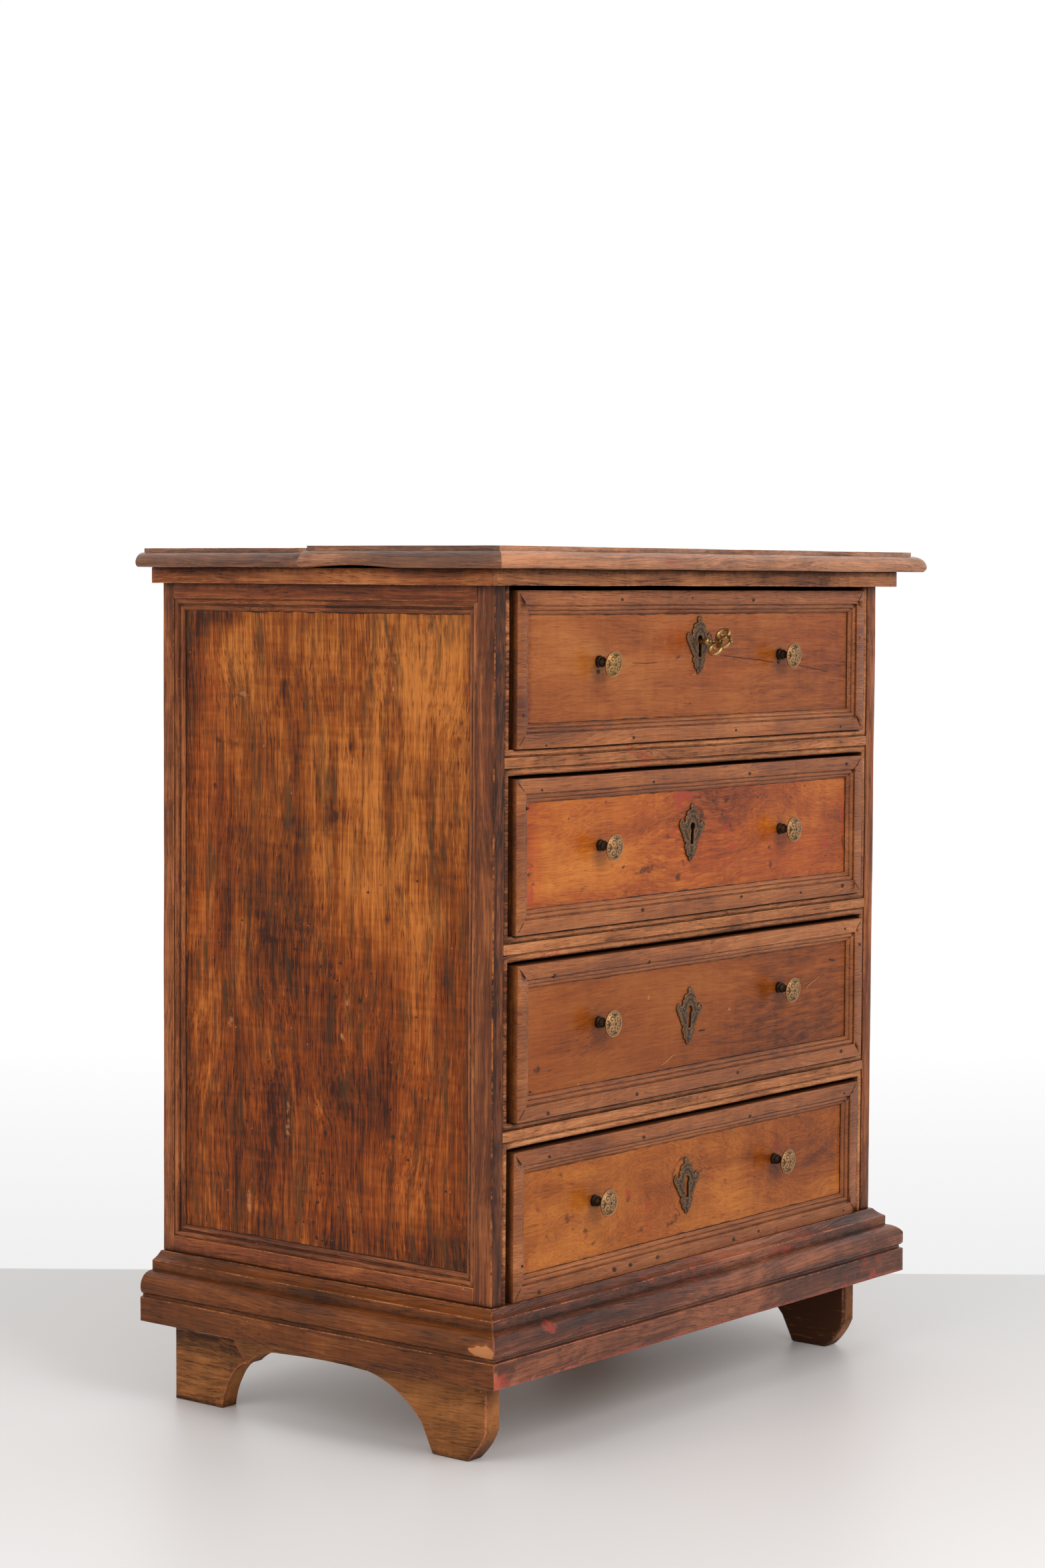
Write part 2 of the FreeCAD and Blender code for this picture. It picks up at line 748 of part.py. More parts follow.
def make_sides():
    """Each side: rails between the posts, a flat panel and its mitred moulding."""
    deep = (POST_BACK, REAR_POST_FRONT)
    thick = (LEFT, PANEL_IN)
    rails = group("side_rails", [
        board("side_rail_low", thick, deep, (CARCASS_BOTTOM, PANEL_BOTTOM)),
        board("side_rail_high", thick, deep, (PANEL_TOP, TOP_BOTTOM)),
    ])
    node(rails, "side_rails_left")
    node(mirrored("side_rails_twin", rails), "side_rails_right")
    panel = board("side_panel", (PANEL_OUT, PANEL_IN), deep, (PANEL_BOTTOM, PANEL_TOP))
    node(panel, "side_panel_left")
    node(mirrored("side_panel_twin", panel), "side_panel_right")
    width = S["panel_moulding_width"]
    height = S["panel_moulding_height"]
    section = moulding_section(width, height, SIDE_SHARES)
    strips = mitred_frame("side_moulding", "side", deep, (PANEL_BOTTOM, PANEL_TOP), PANEL_OUT,
                          width, height, section)
    moulding = node(group("side_mouldings", strips), "side_moulding_left")
    node(mirrored("side_mouldings_twin", moulding), "side_moulding_right")


def mortise(name, number, underside):
    """The pocket that a drawer's bolt rises into, long enough for the drawer's free play."""
    across = (KEYHOLE[number][0] - S["bolt_width"] / 2 - S["mortise_room"],
              KEYHOLE[number][0] + S["bolt_width"] / 2 + S["mortise_room"])
    bolt_rear = BOARD_BACK[number] + S["lock_depth"] - S["lock_wall"] - S["bolt_clearance"]
    deep = (bolt_rear - S["bolt_thickness"] - S["mortise_room"],
            bolt_rear + S[f"proud_{number}"] + S["mortise_room"])
    return board(name, across, deep, (underside - OVER, underside + S["mortise_depth"]))


def make_rails():
    """The rails across the front: one at the top, three between the drawers, one below."""
    body_span = (POST_IN, -POST_IN)
    top_rail = board("top_rail_blank", body_span, (FRONT, RAIL_BACK), (FRIEZE_BOTTOM, TOP_BOTTOM))
    node(cut("top_rail_cut", top_rail, mortise("top_mortise", 1, FRIEZE_BOTTOM)), "top_rail")
    dividers = []
    for number in (1, 2, 3):
        low, high = CEILINGS[number + 1], FLOORS[number]
        bead = S["bead_width"]
        rail = fused(f"divider_{number}", [
            board(f"divider_core_{number}", body_span, (BEAD_BACK, RAIL_BACK), (low, high)),
            board(f"divider_flat_{number}", (POST_FLAT, -POST_FLAT), (FRONT, BEAD_BACK),
                  (low + bead, high - bead)),
        ])
        if number + 1 in LOCKED_DRAWERS:
            rail = cut(f"divider_cut_{number}", rail, mortise(f"divider_mortise_{number}", number + 1, low))
        dividers.append(rail)
    node(group("dividers", dividers), "divider_rails")
    low_rail = board("low_rail", (FOOT_LEFT_IN, FOOT_RIGHT_IN), (FOOT_FRONT, RAIL_BACK),
                     (BOTTOM_RAIL_LOW, CARCASS_BOTTOM))
    node(low_rail, "bottom_rail")


def make_beads():
    """The mitred bead round each drawer opening, let into the posts and the rails."""
    width = S["bead_width"]
    depth = S["bead_depth"]
    shoulder = depth - S["bead_quirk_depth"]
    points = [(ZERO, ZERO), (ZERO, shoulder), (S["bead_quirk_width"], shoulder),
              (width, shoulder), (width, ZERO)]
    section = (points, {2: BEAD_BULGE_SHARE})
    strips = []
    for number in DRAWERS:
        has_top = number != DRAWERS[0]
        has_bottom = number != DRAWERS[-1]
        tall = (FLOORS[number] - width if has_bottom else FLOORS[number],
                CEILINGS[number] + width if has_top else CEILINGS[number])
        sides = "LR" + ("B" if has_bottom else "") + ("T" if has_top else "")
        strips += mitred_frame(f"bead_{number}", "front", (POST_FLAT, -POST_FLAT), tall, BEAD_BACK,
                               width, depth, section, sides)
    node(group("beads", strips), "opening_beads")


def make_inside():
    """The runners and guides that carry the drawers, the bottom board and the back boards."""
    pieces = []
    deep = (RAIL_BACK, REAR_POST_FRONT)
    for number in DRAWERS:
        floor = FLOORS[number]
        lowest = number == DRAWERS[-1]
        starts = (FOOT_LEFT_IN, -FOOT_RIGHT_IN) if lowest else (PANEL_IN, PANEL_IN)
        for side, start in zip(("left", "right"), starts):
            run = (start, start + S["runner_width"])
            guide = (PANEL_IN, GUIDE_IN)
            if side == "right":
                run, guide = other_side(run), other_side(guide)
            pieces.append(board(f"runner_{side}_{number}", run, deep, (floor - S["runner_height"], floor)))
            pieces.append(board(f"guide_{side}_{number}", guide, deep, (floor, floor + S["guide_height"])))
    node(group("runners_and_guides", pieces), "drawer_runners")
    floor_board = board("floor_board", (FOOT_LEFT_IN, FOOT_RIGHT_IN), (FOOT_FRONT, BACK_FACE),
                        (BOTTOM_RAIL_LOW - S["bottom_thickness"], BOTTOM_RAIL_LOW))
    node(floor_board, "bottom_board")
    rebate = POST_IN - S["back_rebate"]
    joint = S["back_joint"]
    pitch = (TOP_BOTTOM - CARCASS_BOTTOM + joint) / 3
    planks = []
    for place in range(3):
        low = CARCASS_BOTTOM + pitch * place
        planks.append(board(f"back_plank_{place}", (rebate, -rebate), (BACK_FACE, BACK),
                            (low, low + pitch - joint)))
    planks.append(board("back_plank_low", (FOOT_LEFT_OUT, FOOT_RIGHT_OUT), (BACK_FACE, BACK),
                        (BOTTOM_RAIL_LOW - S["bottom_thickness"], CARCASS_BOTTOM)))
    node(group("back_planks", planks), "back_boards")


def base_section(edge, over, inner):
    """The base moulding's section at one face of the case; over runs outwards with its sign."""
    points = [(inner, CARCASS_BOTTOM)]
    bulges = {}
    for out, down, bulge in BASE_SHARES:
        if bulge:
            bulges[len(points)] = bulge
        points.append((edge + over * out, CARCASS_BOTTOM - S["base_height"] * down))
    points.append((inner, PLINTH_BOTTOM))
    return points, bulges


def make_base():
    """The moulded base: a front and two sides, mitred at the front corners."""
    slope_left = S["base_over_front"] / S["base_over_left"]
    slope_right = S["base_over_front"] / S["base_over_right"]
    reach = FOOT_FRONT - FRONT
    level_ends = (PLINTH_BOTTOM - OVER, CARCASS_BOTTOM + OVER)
    plans = {
        "front": [(BASE_LEFT, BASE_FRONT), (BASE_RIGHT, BASE_FRONT),
                  (RIGHT - reach / slope_right, FOOT_FRONT), (LEFT + reach / slope_left, FOOT_FRONT)],
        "left": [(BASE_LEFT, BASE_FRONT), (FOOT_LEFT_OUT, FRONT + (FOOT_LEFT_OUT - LEFT) * slope_left),
                 (FOOT_LEFT_OUT, BACK), (BASE_LEFT, BACK)],
        "right": [(BASE_RIGHT, BASE_FRONT), (FOOT_RIGHT_OUT, FRONT + (RIGHT - FOOT_RIGHT_OUT) * slope_right),
                  (FOOT_RIGHT_OUT, BACK), (BASE_RIGHT, BACK)],
    }
    runs = {
        "front": ("YZ_Plane", base_section(FRONT, -S["base_over_front"], FOOT_FRONT), (BASE_LEFT, BASE_RIGHT)),
        "left": ("XZ_Plane", base_section(LEFT, -S["base_over_left"], FOOT_LEFT_OUT), (BASE_FRONT, BACK)),
        "right": ("XZ_Plane", base_section(RIGHT, S["base_over_right"], FOOT_RIGHT_OUT), (BASE_FRONT, BACK)),
    }
    for side, (plane, (points, bulges), ends) in runs.items():
        moulding = swept(f"base_{side}_moulding", plane, points, ends[0] - OVER, ends[1] + OVER, bulges)
        trim = swept(f"base_{side}_trim", "XY_Plane", plans[side], *level_ends)
        node(shared(f"base_{side}", [moulding, trim]), f"base_moulding_{side}")


def make_feet():
    """Under each side a front foot, a rear foot and the arched board between them."""
    toe = FOOT_FRONT + S["foot_toe"]
    heel = toe + S["foot_front_pad"]
    seam = FOOT_FRONT + S["foot_front_length"]
    spring = S["arch_front_spring"]
    points = [(toe, ZERO), (heel, ZERO)]
    bulges = {}
    for along, up, bulge in FOOT_FRONT_SHARES:
        bulges[len(points)] = bulge
        points.append((heel + (seam - heel) * along, spring * up))
    points += [(seam, spring), (seam, CARCASS_BOTTOM), (FOOT_FRONT, CARCASS_BOTTOM),
               (FOOT_FRONT, S["foot_toe_rise"])]
    bulges[len(points) - 1] = FOOT_TOE_BULGE_SHARE
    front_foot = (points, bulges)

    pad_front = FOOT_REAR - S["foot_rear_pad"]
    meet = pad_front - S["arch_rear_reach"]
    shoulder = meet + S["arch_seam_run"]
    spring = S["arch_rear_spring"]
    points = [(pad_front, ZERO), (FOOT_REAR, ZERO), (FOOT_REAR, CARCASS_BOTTOM),
              (shoulder, CARCASS_BOTTOM), (shoulder, PLINTH_BOTTOM), (meet, spring)]
    bulges = {5: ARCH_REAR_BULGE_SHARE}
    for along, up, bulge in FOOT_REAR_SHARES:
        bulges[len(points)] = bulge
        points.append((meet + S["arch_rear_reach"] * along, spring * up))
    rear_foot = (points, bulges)

    crown = seam + (meet - seam) * ARCH_CROWN_SHARE
    crown_level = S["arch_front_spring"] * (1 - ARCH_CROWN_DROP_SHARE)
    points = [(seam, S["arch_front_spring"]), (crown, crown_level), (meet, spring),
              (shoulder, PLINTH_BOTTOM), (shoulder, CARCASS_BOTTOM), (seam, CARCASS_BOTTOM)]
    arch = (points, {0: ARCH_CROWN_BULGE_SHARE, 1: ARCH_REAR_BULGE_SHARE})

    spans = {"left": (FOOT_LEFT_OUT, FOOT_LEFT_IN), "right": (FOOT_RIGHT_IN, FOOT_RIGHT_OUT)}
    pieces = {"foot_front": front_foot, "foot_rear": rear_foot, "arch_board": arch}
    for side, span in spans.items():
        for label, (points, bulges) in pieces.items():
            body = new_body(f"{label}_body_{side}")
            pad(body, f"{label}_pad_{side}", "YZ_Plane", points, *span, bulges)
            node(body, f"{label}_{side}")


def make_front(number):
    """A drawer's front board, with its keyhole where it has a lock, and its mitred frame."""
    tall = (DRAWER_LOW[number], DRAWER_TOP[number])
    front = new_body(f"drawer_{number}_board")
    points = rectangle(DRAWER_SIDES, tall)
    pad(front, f"front_pad_{number}", "XZ_Plane", points, PANEL[number], BOARD_BACK[number])
    if number in LOCKED_DRAWERS:
        centre = KEYHOLE[number]
        through = (PANEL[number] - OVER, BOARD_BACK[number] + OVER)
        drill(front, f"front_keyhole_{number}", centre, S["keyhole_radius"], *through)
        half = S["keyhole_slot_width"] / 2
        slot = rectangle((centre[0] - half, centre[0] + half),
                         (centre[1] - S["keyhole_slot_length"], centre[1]))
        pocket(front, f"front_slot_{number}", "XZ_Plane", slot, *through)
    node(front, f"drawer_{number}_front")
    section = moulding_section(S["frame_width"], S["frame_height"], FRAME_SHARES, S["frame_flat"])
    strips = mitred_frame(f"frame_{number}", "front", DRAWER_SIDES, tall, PANEL[number],
                          S["frame_width"], S["frame_height"], section)
    node(group(f"frame_strips_{number}", strips), f"drawer_{number}_frame")


def make_box(number):
    """A drawer's two sides and back, standing on its bottom board."""
    low, high = DRAWER_SIDES
    thick = S["drawer_side_thickness"]
    floor = DRAWER_LOW[number] + S["drawer_bottom_thickness"]
    tall = (floor, DRAWER_TOP[number] - S["drawer_side_drop"])
    deep = (BOARD_BACK[number], DRAWER_REAR[number])
    box = [
        board(f"box_left_{number}", (low, low + thick), deep, tall),
        board(f"box_right_{number}", (high - thick, high), deep, tall),
        board(f"box_back_{number}", (low + thick, high - thick), (deep[1] - thick, deep[1]), tall),
    ]
    node(group(f"box_{number}", box), f"drawer_{number}_box")
    node(board(f"box_bottom_{number}", DRAWER_SIDES, deep, (DRAWER_LOW[number], floor)),
         f"drawer_{number}_bottom")


def knob_outline():
    """A knob's half section: a boss, a neck and a domed disc with a raised rim."""
    radius = S["knob_disc_radius"]
    rim = S["knob_rim_reach"]
    thickness = S["knob_disc_thickness"]
    root_radius = S["knob_boss_radius"] * BOSS_SHARES[0][0]
    points = [(ZERO, S["knob_root"]), (root_radius, S["knob_root"])]
    bulges = {}
    for out, along, bulge in BOSS_SHARES:
        bulges[len(points)] = bulge
        points.append((S["knob_boss_radius"] * out, -(S["knob_boss_length"] * along)))
    points.append((S["knob_neck_radius"], -S["knob_boss_length"]))
    points.append((S["knob_neck_radius"], thickness - rim))
    for out, behind, bulge in DISC_SHARES:
        bulges[len(points)] = bulge
        points.append((radius * out, thickness * behind - rim))
    points += [(radius * out, -(rim + S["knob_dome_rise"] * up)) for out, up in DOME_SHARES]
    return points, {edge: bulge for edge, bulge in bulges.items() if bulge}


def make_knobs(number):
    """A drawer's two turned knobs, each drooping a little from wear."""
    points, bulges = knob_outline()
    room = S["knob_disc_radius"] * 2
    reach = S["knob_rim_reach"] + room
    knobs = []
    for side in ("left", "right"):
        x = S[f"knob_{side}_x_{number}"]
        z = DRAWER_LOW[number] + S[f"knob_{side}_rise_{number}"]
        knob = new_body(f"knob_{side}_{number}")
        turned(knob, f"knob_turning_{side}_{number}", points, bulges)
        stand(knob, (x, PANEL[number], z), "x", S[f"knob_{side}_droop_{number}"])
        space = board(f"knob_space_{side}_{number}", (x - room, x + room),
                      (PANEL[number] - reach, PANEL[number]), (z - room, z + room))
        knobs.append(shared(f"knob_seated_{side}_{number}", [knob, space]))
    node(group(f"knobs_{number}", knobs), f"drawer_{number}_knobs")


def make_plate(number):
    """A drawer's brass key plate with its keyhole and three domed pins."""
    def place(out, up):
        """A point of the plate from its shares."""
        return S["plate_half_width"] * out, (S["plate_above"] if up > 0 else S["plate_below"]) * up

    right_side = [place(out, up) for out, up, _ in PLATE_SHARES]
    points = right_side + [(-x, y) for x, y in reversed(right_side[1:-1])]
    rises = [bulge for _, _, bulge in PLATE_SHARES[:-1]]
    bulges = {edge: bulge for edge, bulge in enumerate(rises + rises[::-1]) if bulge}
    face = -S["plate_thickness"]
    plate = new_body(f"key_plate_{number}")
    pad(plate, f"plate_pad_{number}", "XZ_Plane", points, face, ZERO, bulges)
    through = (face - OVER, OVER)
    drill(plate, f"plate_keyhole_{number}", (ZERO, ZERO), S["keyhole_radius"], *through)
    half = S["keyhole_slot_width"] / 2
    slot = rectangle((-half, half), (-S["keyhole_slot_length"], ZERO))
    pocket(plate, f"plate_slot_{number}", "XZ_Plane", slot, *through)
    x, z = KEYHOLE[number]
    stand(plate, (x, PANEL[number], z))
    rise = S["pin_ear_rise"]
    places = ((-S["pin_left_reach"], rise), (S["pin_right_reach"], rise), (ZERO, -S["pin_foot_drop"]))
    pins = []
    for index, (across, up) in enumerate(places):
        pin = new_body(f"pin_{index}_{number}")
        radius = S["pin_radius"]
        crown = -S["pin_height"]
        outline = [(ZERO, ZERO), (radius, ZERO), (radius * PIN_CROWN_SHARE, crown), (ZERO, crown)]
        turned(pin, f"pin_turning_{index}_{number}", outline)
        stand(pin, (x + across, PANEL[number] + face, z + up))
        pins.append(pin)
    node(group(f"plate_and_pins_{number}", [plate, *pins]), f"drawer_{number}_key_plate")


def make_lock(number):
    """A drawer's iron lock: a case screwed behind its front, and the bolt that rises from it."""
    x = KEYHOLE[number][0]
    z = KEY_LEVEL[number]
    wall = S["lock_wall"]
    front = BOARD_BACK[number]
    rear = front + S["lock_depth"]
    half = S["lock_width"] / 2
    swing = BIT_REACH + S["lock_bit_room"]
    low = z - swing - wall
    high = DRAWER_TOP[number] - S["lock_top_gap"]
    gap = S["bolt_clearance"]
    case = new_body(f"lock_case_{number}")
    pad(case, f"lock_pad_{number}", "XZ_Plane", rectangle((x - half, x + half), (low, high)), front, rear)
    hollow = rectangle((x - half + wall, x + half - wall), (low + wall, high - wall))
    pocket(case, f"lock_hollow_{number}", "XZ_Plane", hollow, front - OVER, rear - wall)
    bolt_half = S["bolt_width"] / 2
    bolt_rear = rear - wall - gap
    bolt_front = bolt_rear - S["bolt_thickness"]
    mouth = rectangle((x - bolt_half - gap, x + bolt_half + gap), (bolt_front - gap, bolt_rear + gap))
    pocket(case, f"lock_mouth_{number}", "XY_Plane", mouth, high - wall - OVER, high + OVER)
    drill(case, f"lock_bush_{number}", (x, z), SHANK_RADIUS + S["shank_clearance"],
          rear - wall - OVER, rear + OVER)
    node(case, f"lock_{number}_case")
    bolt = board(f"bolt_{number}", (x - bolt_half, x + bolt_half), (bolt_front, bolt_rear),
                 (z + swing, high))
    node(bolt, f"lock_{number}_bolt")


def additive(body, kind, name, place, turn, sizes):
    """Add a round or square primitive to a body at a place along its own axes."""
    feature = body.newObject(f"PartDesign::Additive{kind}", name)
    feature.Placement = FreeCAD.Placement(FreeCAD.Vector(), turn)
    for prop, size in sizes.items():
        bind(feature, prop, size)
    for axis, size in zip("xyz", place):
        bind(feature, f"Placement.Base.{axis}", size)
    body.Tip = feature
    return feature


def make_key():
    """The brass key in drawer 1: a shank with its bit, a turned collar and a scrolled bow."""
    face = -(S["plate_thickness"] + S["collar_clearance"])
    tip = S["front_thickness"] + S["lock_depth"] - S["shank_tip"]
    outwards = FreeCAD.Rotation(FreeCAD.Vector(1, 0, 0), 90)
    flat = FreeCAD.Rotation(FreeCAD.Vector(0, 1, 0), 90)
    square = FreeCAD.Rotation()
    key = new_body("key_body")
    length = S["collar_length"]
    points = [(ZERO, face)]
    bulges = {}
    for out, along, bulge in COLLAR_SHARES:
        if bulge:
            bulges[len(points)] = bulge
        points.append((S["collar_radius"] * out, face - length * along))
    collar_end = face - length
    points.append((ZERO, collar_end))
    turned(key, "key_collar", points, bulges)
    additive(key, "Cylinder", "key_shank", (ZERO, tip, ZERO), outwards,
             {"Radius": SHANK_RADIUS, "Height": tip - face + OVER})
    bit_start = S["front_thickness"] + S["bit_clearance"]
    additive(key, "Box", "key_bit", (-(S["bit_thickness"] / 2), bit_start, -BIT_REACH), square,
             {"Length": S["bit_thickness"], "Width": S["bit_length"], "Height": BIT_REACH})
    ring_y = collar_end - S["bow_ring_gap"] - S["bow_ring_radius"]
    outer_y = ring_y - S["bow_outer_step"]
    outer_edge = outer_y - S["bow_ring_radius"] - S["bow_wire_radius"]
    ball_y = outer_edge - S["bow_ball_radius"] * BALL_SEAT_SHARE
    additive(key, "Cylinder", "key_neck", (ZERO, collar_end + OVER, ZERO), outwards,
             {"Radius": S["bow_neck_radius"], "Height": collar_end - ring_y + OVER})
    ring = {"Radius1": S["bow_ring_radius"], "Radius2": S["bow_wire_radius"]}
    additive(key, "Torus", "key_ring_low", (ZERO, ring_y, -S["bow_spread"]), flat, ring)
    additive(key, "Torus", "key_ring_high", (ZERO, ring_y, S["bow_spread"]), flat, ring)
    additive(key, "Torus", "key_ring_outer", (ZERO, outer_y, ZERO), flat, ring)
    additive(key, "Sphere", "key_ball", (ZERO, ball_y, ZERO), square, {"Radius": S["bow_ball_radius"]})
    stand(key, (KEYHOLE[1][0], PANEL[1], KEY_LEVEL[1]), "y", S["key_turned"])
    node(key, "lock_1_key")


def check_document():
    """Stop where any object failed, or a sub-part has no sound shape."""
    for thing in doc.Objects:
        if "Invalid" in thing.State or "Error" in thing.State:
            raise RuntimeError(f"{thing.Name} failed: {thing.State}")
    for thing in nodes:
        shape = thing.Shape
        if shape.isNull() or not shape.isValid() or not shape.Solids:
            raise RuntimeError(f"{thing.Label} has no sound shape")


def write_parts():
    """Write each sub-part as a file that bears its label."""
    os.makedirs("parts", exist_ok=True)
    for thing in nodes:
        thing.Shape.exportStep(f"parts/{thing.Label}.step")
        box = thing.Shape.BoundBox
        print(f"{thing.Label}: {len(thing.Shape.Solids)} solids, x {box.XMin:.1f} {box.XMax:.1f}, "
              f"y {box.YMin:.1f} {box.YMax:.1f}, z {box.ZMin:.1f} {box.ZMax:.1f}")


make_top()
make_frieze()
make_posts()
make_sides()
make_rails()
make_beads()
make_inside()
make_base()
make_feet()
for number in DRAWERS:
    make_front(number)
    make_box(number)
    make_knobs(number)
    make_plate(number)
for number in LOCKED_DRAWERS:
    make_lock(number)
make_key()
doc.recompute()
check_document()
write_parts()
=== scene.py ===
"""A small old walnut chest of four drawers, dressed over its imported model.

The chest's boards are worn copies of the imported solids: their arrises are eased, their
faces wander a little, and the drawer fronts and side panels carry the stains, worm holes
and traces of red paint that the years left. The knobs, key plates and key are modelled
afresh, with their chased relief.
"""

from __future__ import annotations

import logging
import math
from dataclasses import dataclass
from enum import Enum
from typing import Callable, Sequence

import bmesh
import bpy
import numpy as np
from mathutils import Matrix, Vector, noise

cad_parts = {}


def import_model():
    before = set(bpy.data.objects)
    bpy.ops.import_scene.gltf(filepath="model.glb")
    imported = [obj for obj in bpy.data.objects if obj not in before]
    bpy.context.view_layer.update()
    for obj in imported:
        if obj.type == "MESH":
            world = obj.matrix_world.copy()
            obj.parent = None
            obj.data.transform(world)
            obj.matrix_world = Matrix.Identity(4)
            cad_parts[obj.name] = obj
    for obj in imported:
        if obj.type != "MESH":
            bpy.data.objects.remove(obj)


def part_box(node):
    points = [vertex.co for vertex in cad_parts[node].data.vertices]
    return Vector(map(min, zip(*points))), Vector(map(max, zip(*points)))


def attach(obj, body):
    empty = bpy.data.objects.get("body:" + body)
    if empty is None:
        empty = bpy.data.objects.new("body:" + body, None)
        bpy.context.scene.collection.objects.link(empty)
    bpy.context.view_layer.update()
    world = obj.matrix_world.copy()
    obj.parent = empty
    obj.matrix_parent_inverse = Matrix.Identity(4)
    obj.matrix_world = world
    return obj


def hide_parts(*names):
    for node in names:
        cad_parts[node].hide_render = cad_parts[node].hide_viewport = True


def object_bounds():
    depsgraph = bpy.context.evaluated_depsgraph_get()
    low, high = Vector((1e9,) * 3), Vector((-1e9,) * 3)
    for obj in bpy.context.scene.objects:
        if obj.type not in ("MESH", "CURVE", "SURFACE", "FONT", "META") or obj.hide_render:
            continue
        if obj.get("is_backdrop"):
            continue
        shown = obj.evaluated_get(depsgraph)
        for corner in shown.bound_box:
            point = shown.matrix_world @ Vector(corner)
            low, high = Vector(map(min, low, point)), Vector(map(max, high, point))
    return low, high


LOG = logging.getLogger("chest")
MM = 0.001
Colour = tuple[float, float, float]
Point = tuple[float, float]
Place = tuple[float, float, float]
Outline = tuple[Point, ...]
Where = Callable[[np.ndarray], np.ndarray]
BMesh = bmesh.types.BMesh
BMVert, BMEdge, BMFace = bmesh.types.BMVert, bmesh.types.BMEdge, bmesh.types.BMFace
Material, Object, World = bpy.types.Material, bpy.types.Object, bpy.types.World
Node, Socket = bpy.types.Node, bpy.types.NodeSocket


def tint(red: float, green: float, blue: float) -> Colour:
    """Turn a colour seen on a screen, 0 to 255, into light.

    Args:
        red: The red share.
        green: The green share.
        blue: The blue share.

    Returns:
        The linear colour.
    """
    def light(value: float) -> float:
        """One share as light."""
        share = value / 255
        return share / 12.92 if share <= 0.04045 else ((share + 0.055) / 1.055) ** 2.4
    return light(red), light(green), light(blue)


def along(axis: int, length: float) -> Vector:
    """Make a vector of a given length along an axis."""
    arrow = Vector((0, 0, 0))
    arrow[axis] = length
    return arrow


class Grain(Enum):
    """The way a board's grain runs, by its axis."""

    ACROSS = 0
    DEEP = 1
    UPRIGHT = 2


class Mark(Enum):
    """What is painted on a spot of a board: stains, paint, wear, and paler, darker and redder tone, which in
    places is painted highlight and shade.
    """

    STAIN = 0
    PAINT = 1
    RUBBED = 2
    PALE = 3
    DARK = 4
    RED = 5


# The colour layers that carry the marks, and the first mark that each holds; the second carries the pale,
# dark and red tone, in places painted highlight and shade.
MARK_LAYERS = {"history": 0, "season": 3}
# A mark is whole up to half its size, and gone at one and a half times it.
MARK_FADE = 1.5


@dataclass(frozen=True)
class Spot:
    """An oval mark on a board.

    Its place and its half sizes are in millimetres on the board's face, and turn is in
    degrees, anticlockwise.
    """

    mark: Mark
    at: Point
    size: Point
    strength: float = 1.0
    turn: float = 0.0

    def cover(self, across: np.ndarray, up: np.ndarray) -> np.ndarray:
        """Say how strongly the mark covers each point.

        Args:
            across: The points' first coordinates.
            up: Their second coordinates.

        Returns:
            Shares from 0 to the mark's strength.
        """
        angle = math.radians(self.turn)
        dx, dy = across - self.at[0], up - self.at[1]
        ahead = (dx * math.cos(angle) + dy * math.sin(angle)) / self.size[0]
        aside = (dy * math.cos(angle) - dx * math.sin(angle)) / self.size[1]
        return self.strength * np.clip(MARK_FADE - np.hypot(ahead, aside), 0.0, 1.0)


@dataclass(frozen=True)
class Stroke:
    """A scratch, crack or run of paint along a line on a board, in millimetres."""

    mark: Mark
    points: Outline
    width: float
    strength: float = 1.0

    def cover(self, across: np.ndarray, up: np.ndarray) -> np.ndarray:
        """Say how strongly the stroke covers each point.

        Args:
            across: The points' first coordinates.
            up: Their second coordinates.

        Returns:
            Shares from 0 to the stroke's strength.
        """
        nearest = np.full(across.shape, np.inf)
        for (x0, y0), (x1, y1) in zip(self.points, self.points[1:]):
            length = (x1 - x0) ** 2 + (y1 - y0) ** 2
            share = np.clip(((across - x0) * (x1 - x0) + (up - y0) * (y1 - y0)) / length, 0, 1)
            gap = np.hypot(across - x0 - share * (x1 - x0), up - y0 - share * (y1 - y0))
            nearest = np.minimum(nearest, gap)
        return self.strength * np.clip(MARK_FADE - nearest / self.width, 0.0, 1.0)


Marks = tuple[Spot | Stroke, ...]


def spots(mark: Mark, *rows: tuple[float, ...]) -> Marks:
    """List oval marks of one kind: place across and up, half sizes, strength and maybe turn."""
    return tuple(Spot(mark, (x, z), (wide, tall), *rest) for x, z, wide, tall, *rest in rows)


def strokes(mark: Mark, *rows: tuple[float, float, Outline]) -> Marks:
    """List strokes of one kind: width, strength and line."""
    return tuple(Stroke(mark, line, width, strength) for width, strength, line in rows)


@dataclass(frozen=True)
class Layer:
    """Noise that is drawn out along the grain.

    along and across are how many blotches there are to a metre, detail is how many finer
    layers it has, warp how far it is bent and rough how strong the finer layers are.
    """

    along: float
    across: float
    detail: float
    warp: float = 0.0
    rough: float = 0.5


SWAY = Layer(3.0, 6.6, 2.0)
BANDS = Layer(1.3, 15.0, 3.0, warp=0.5)
FIBRES = Layer(16.0, 620.0, 3.0, rough=0.6)
PORES = Layer(42.0, 900.0, 1.0)
CLOUDS = Layer(5.0, 9.0, 5.0, warp=0.6, rough=0.62)
RIPPLE = Layer(120.0, 15.0, 2.0, warp=0.5)
RAGGED = Layer(26.0, 190.0, 4.0, warp=0.2, rough=0.65)
HAZE = Layer(13.0, 80.0, 5.0, warp=0.2, rough=0.68)
FLECKS = Layer(44.0, 88.0, 4.0, warp=0.6, rough=0.7)


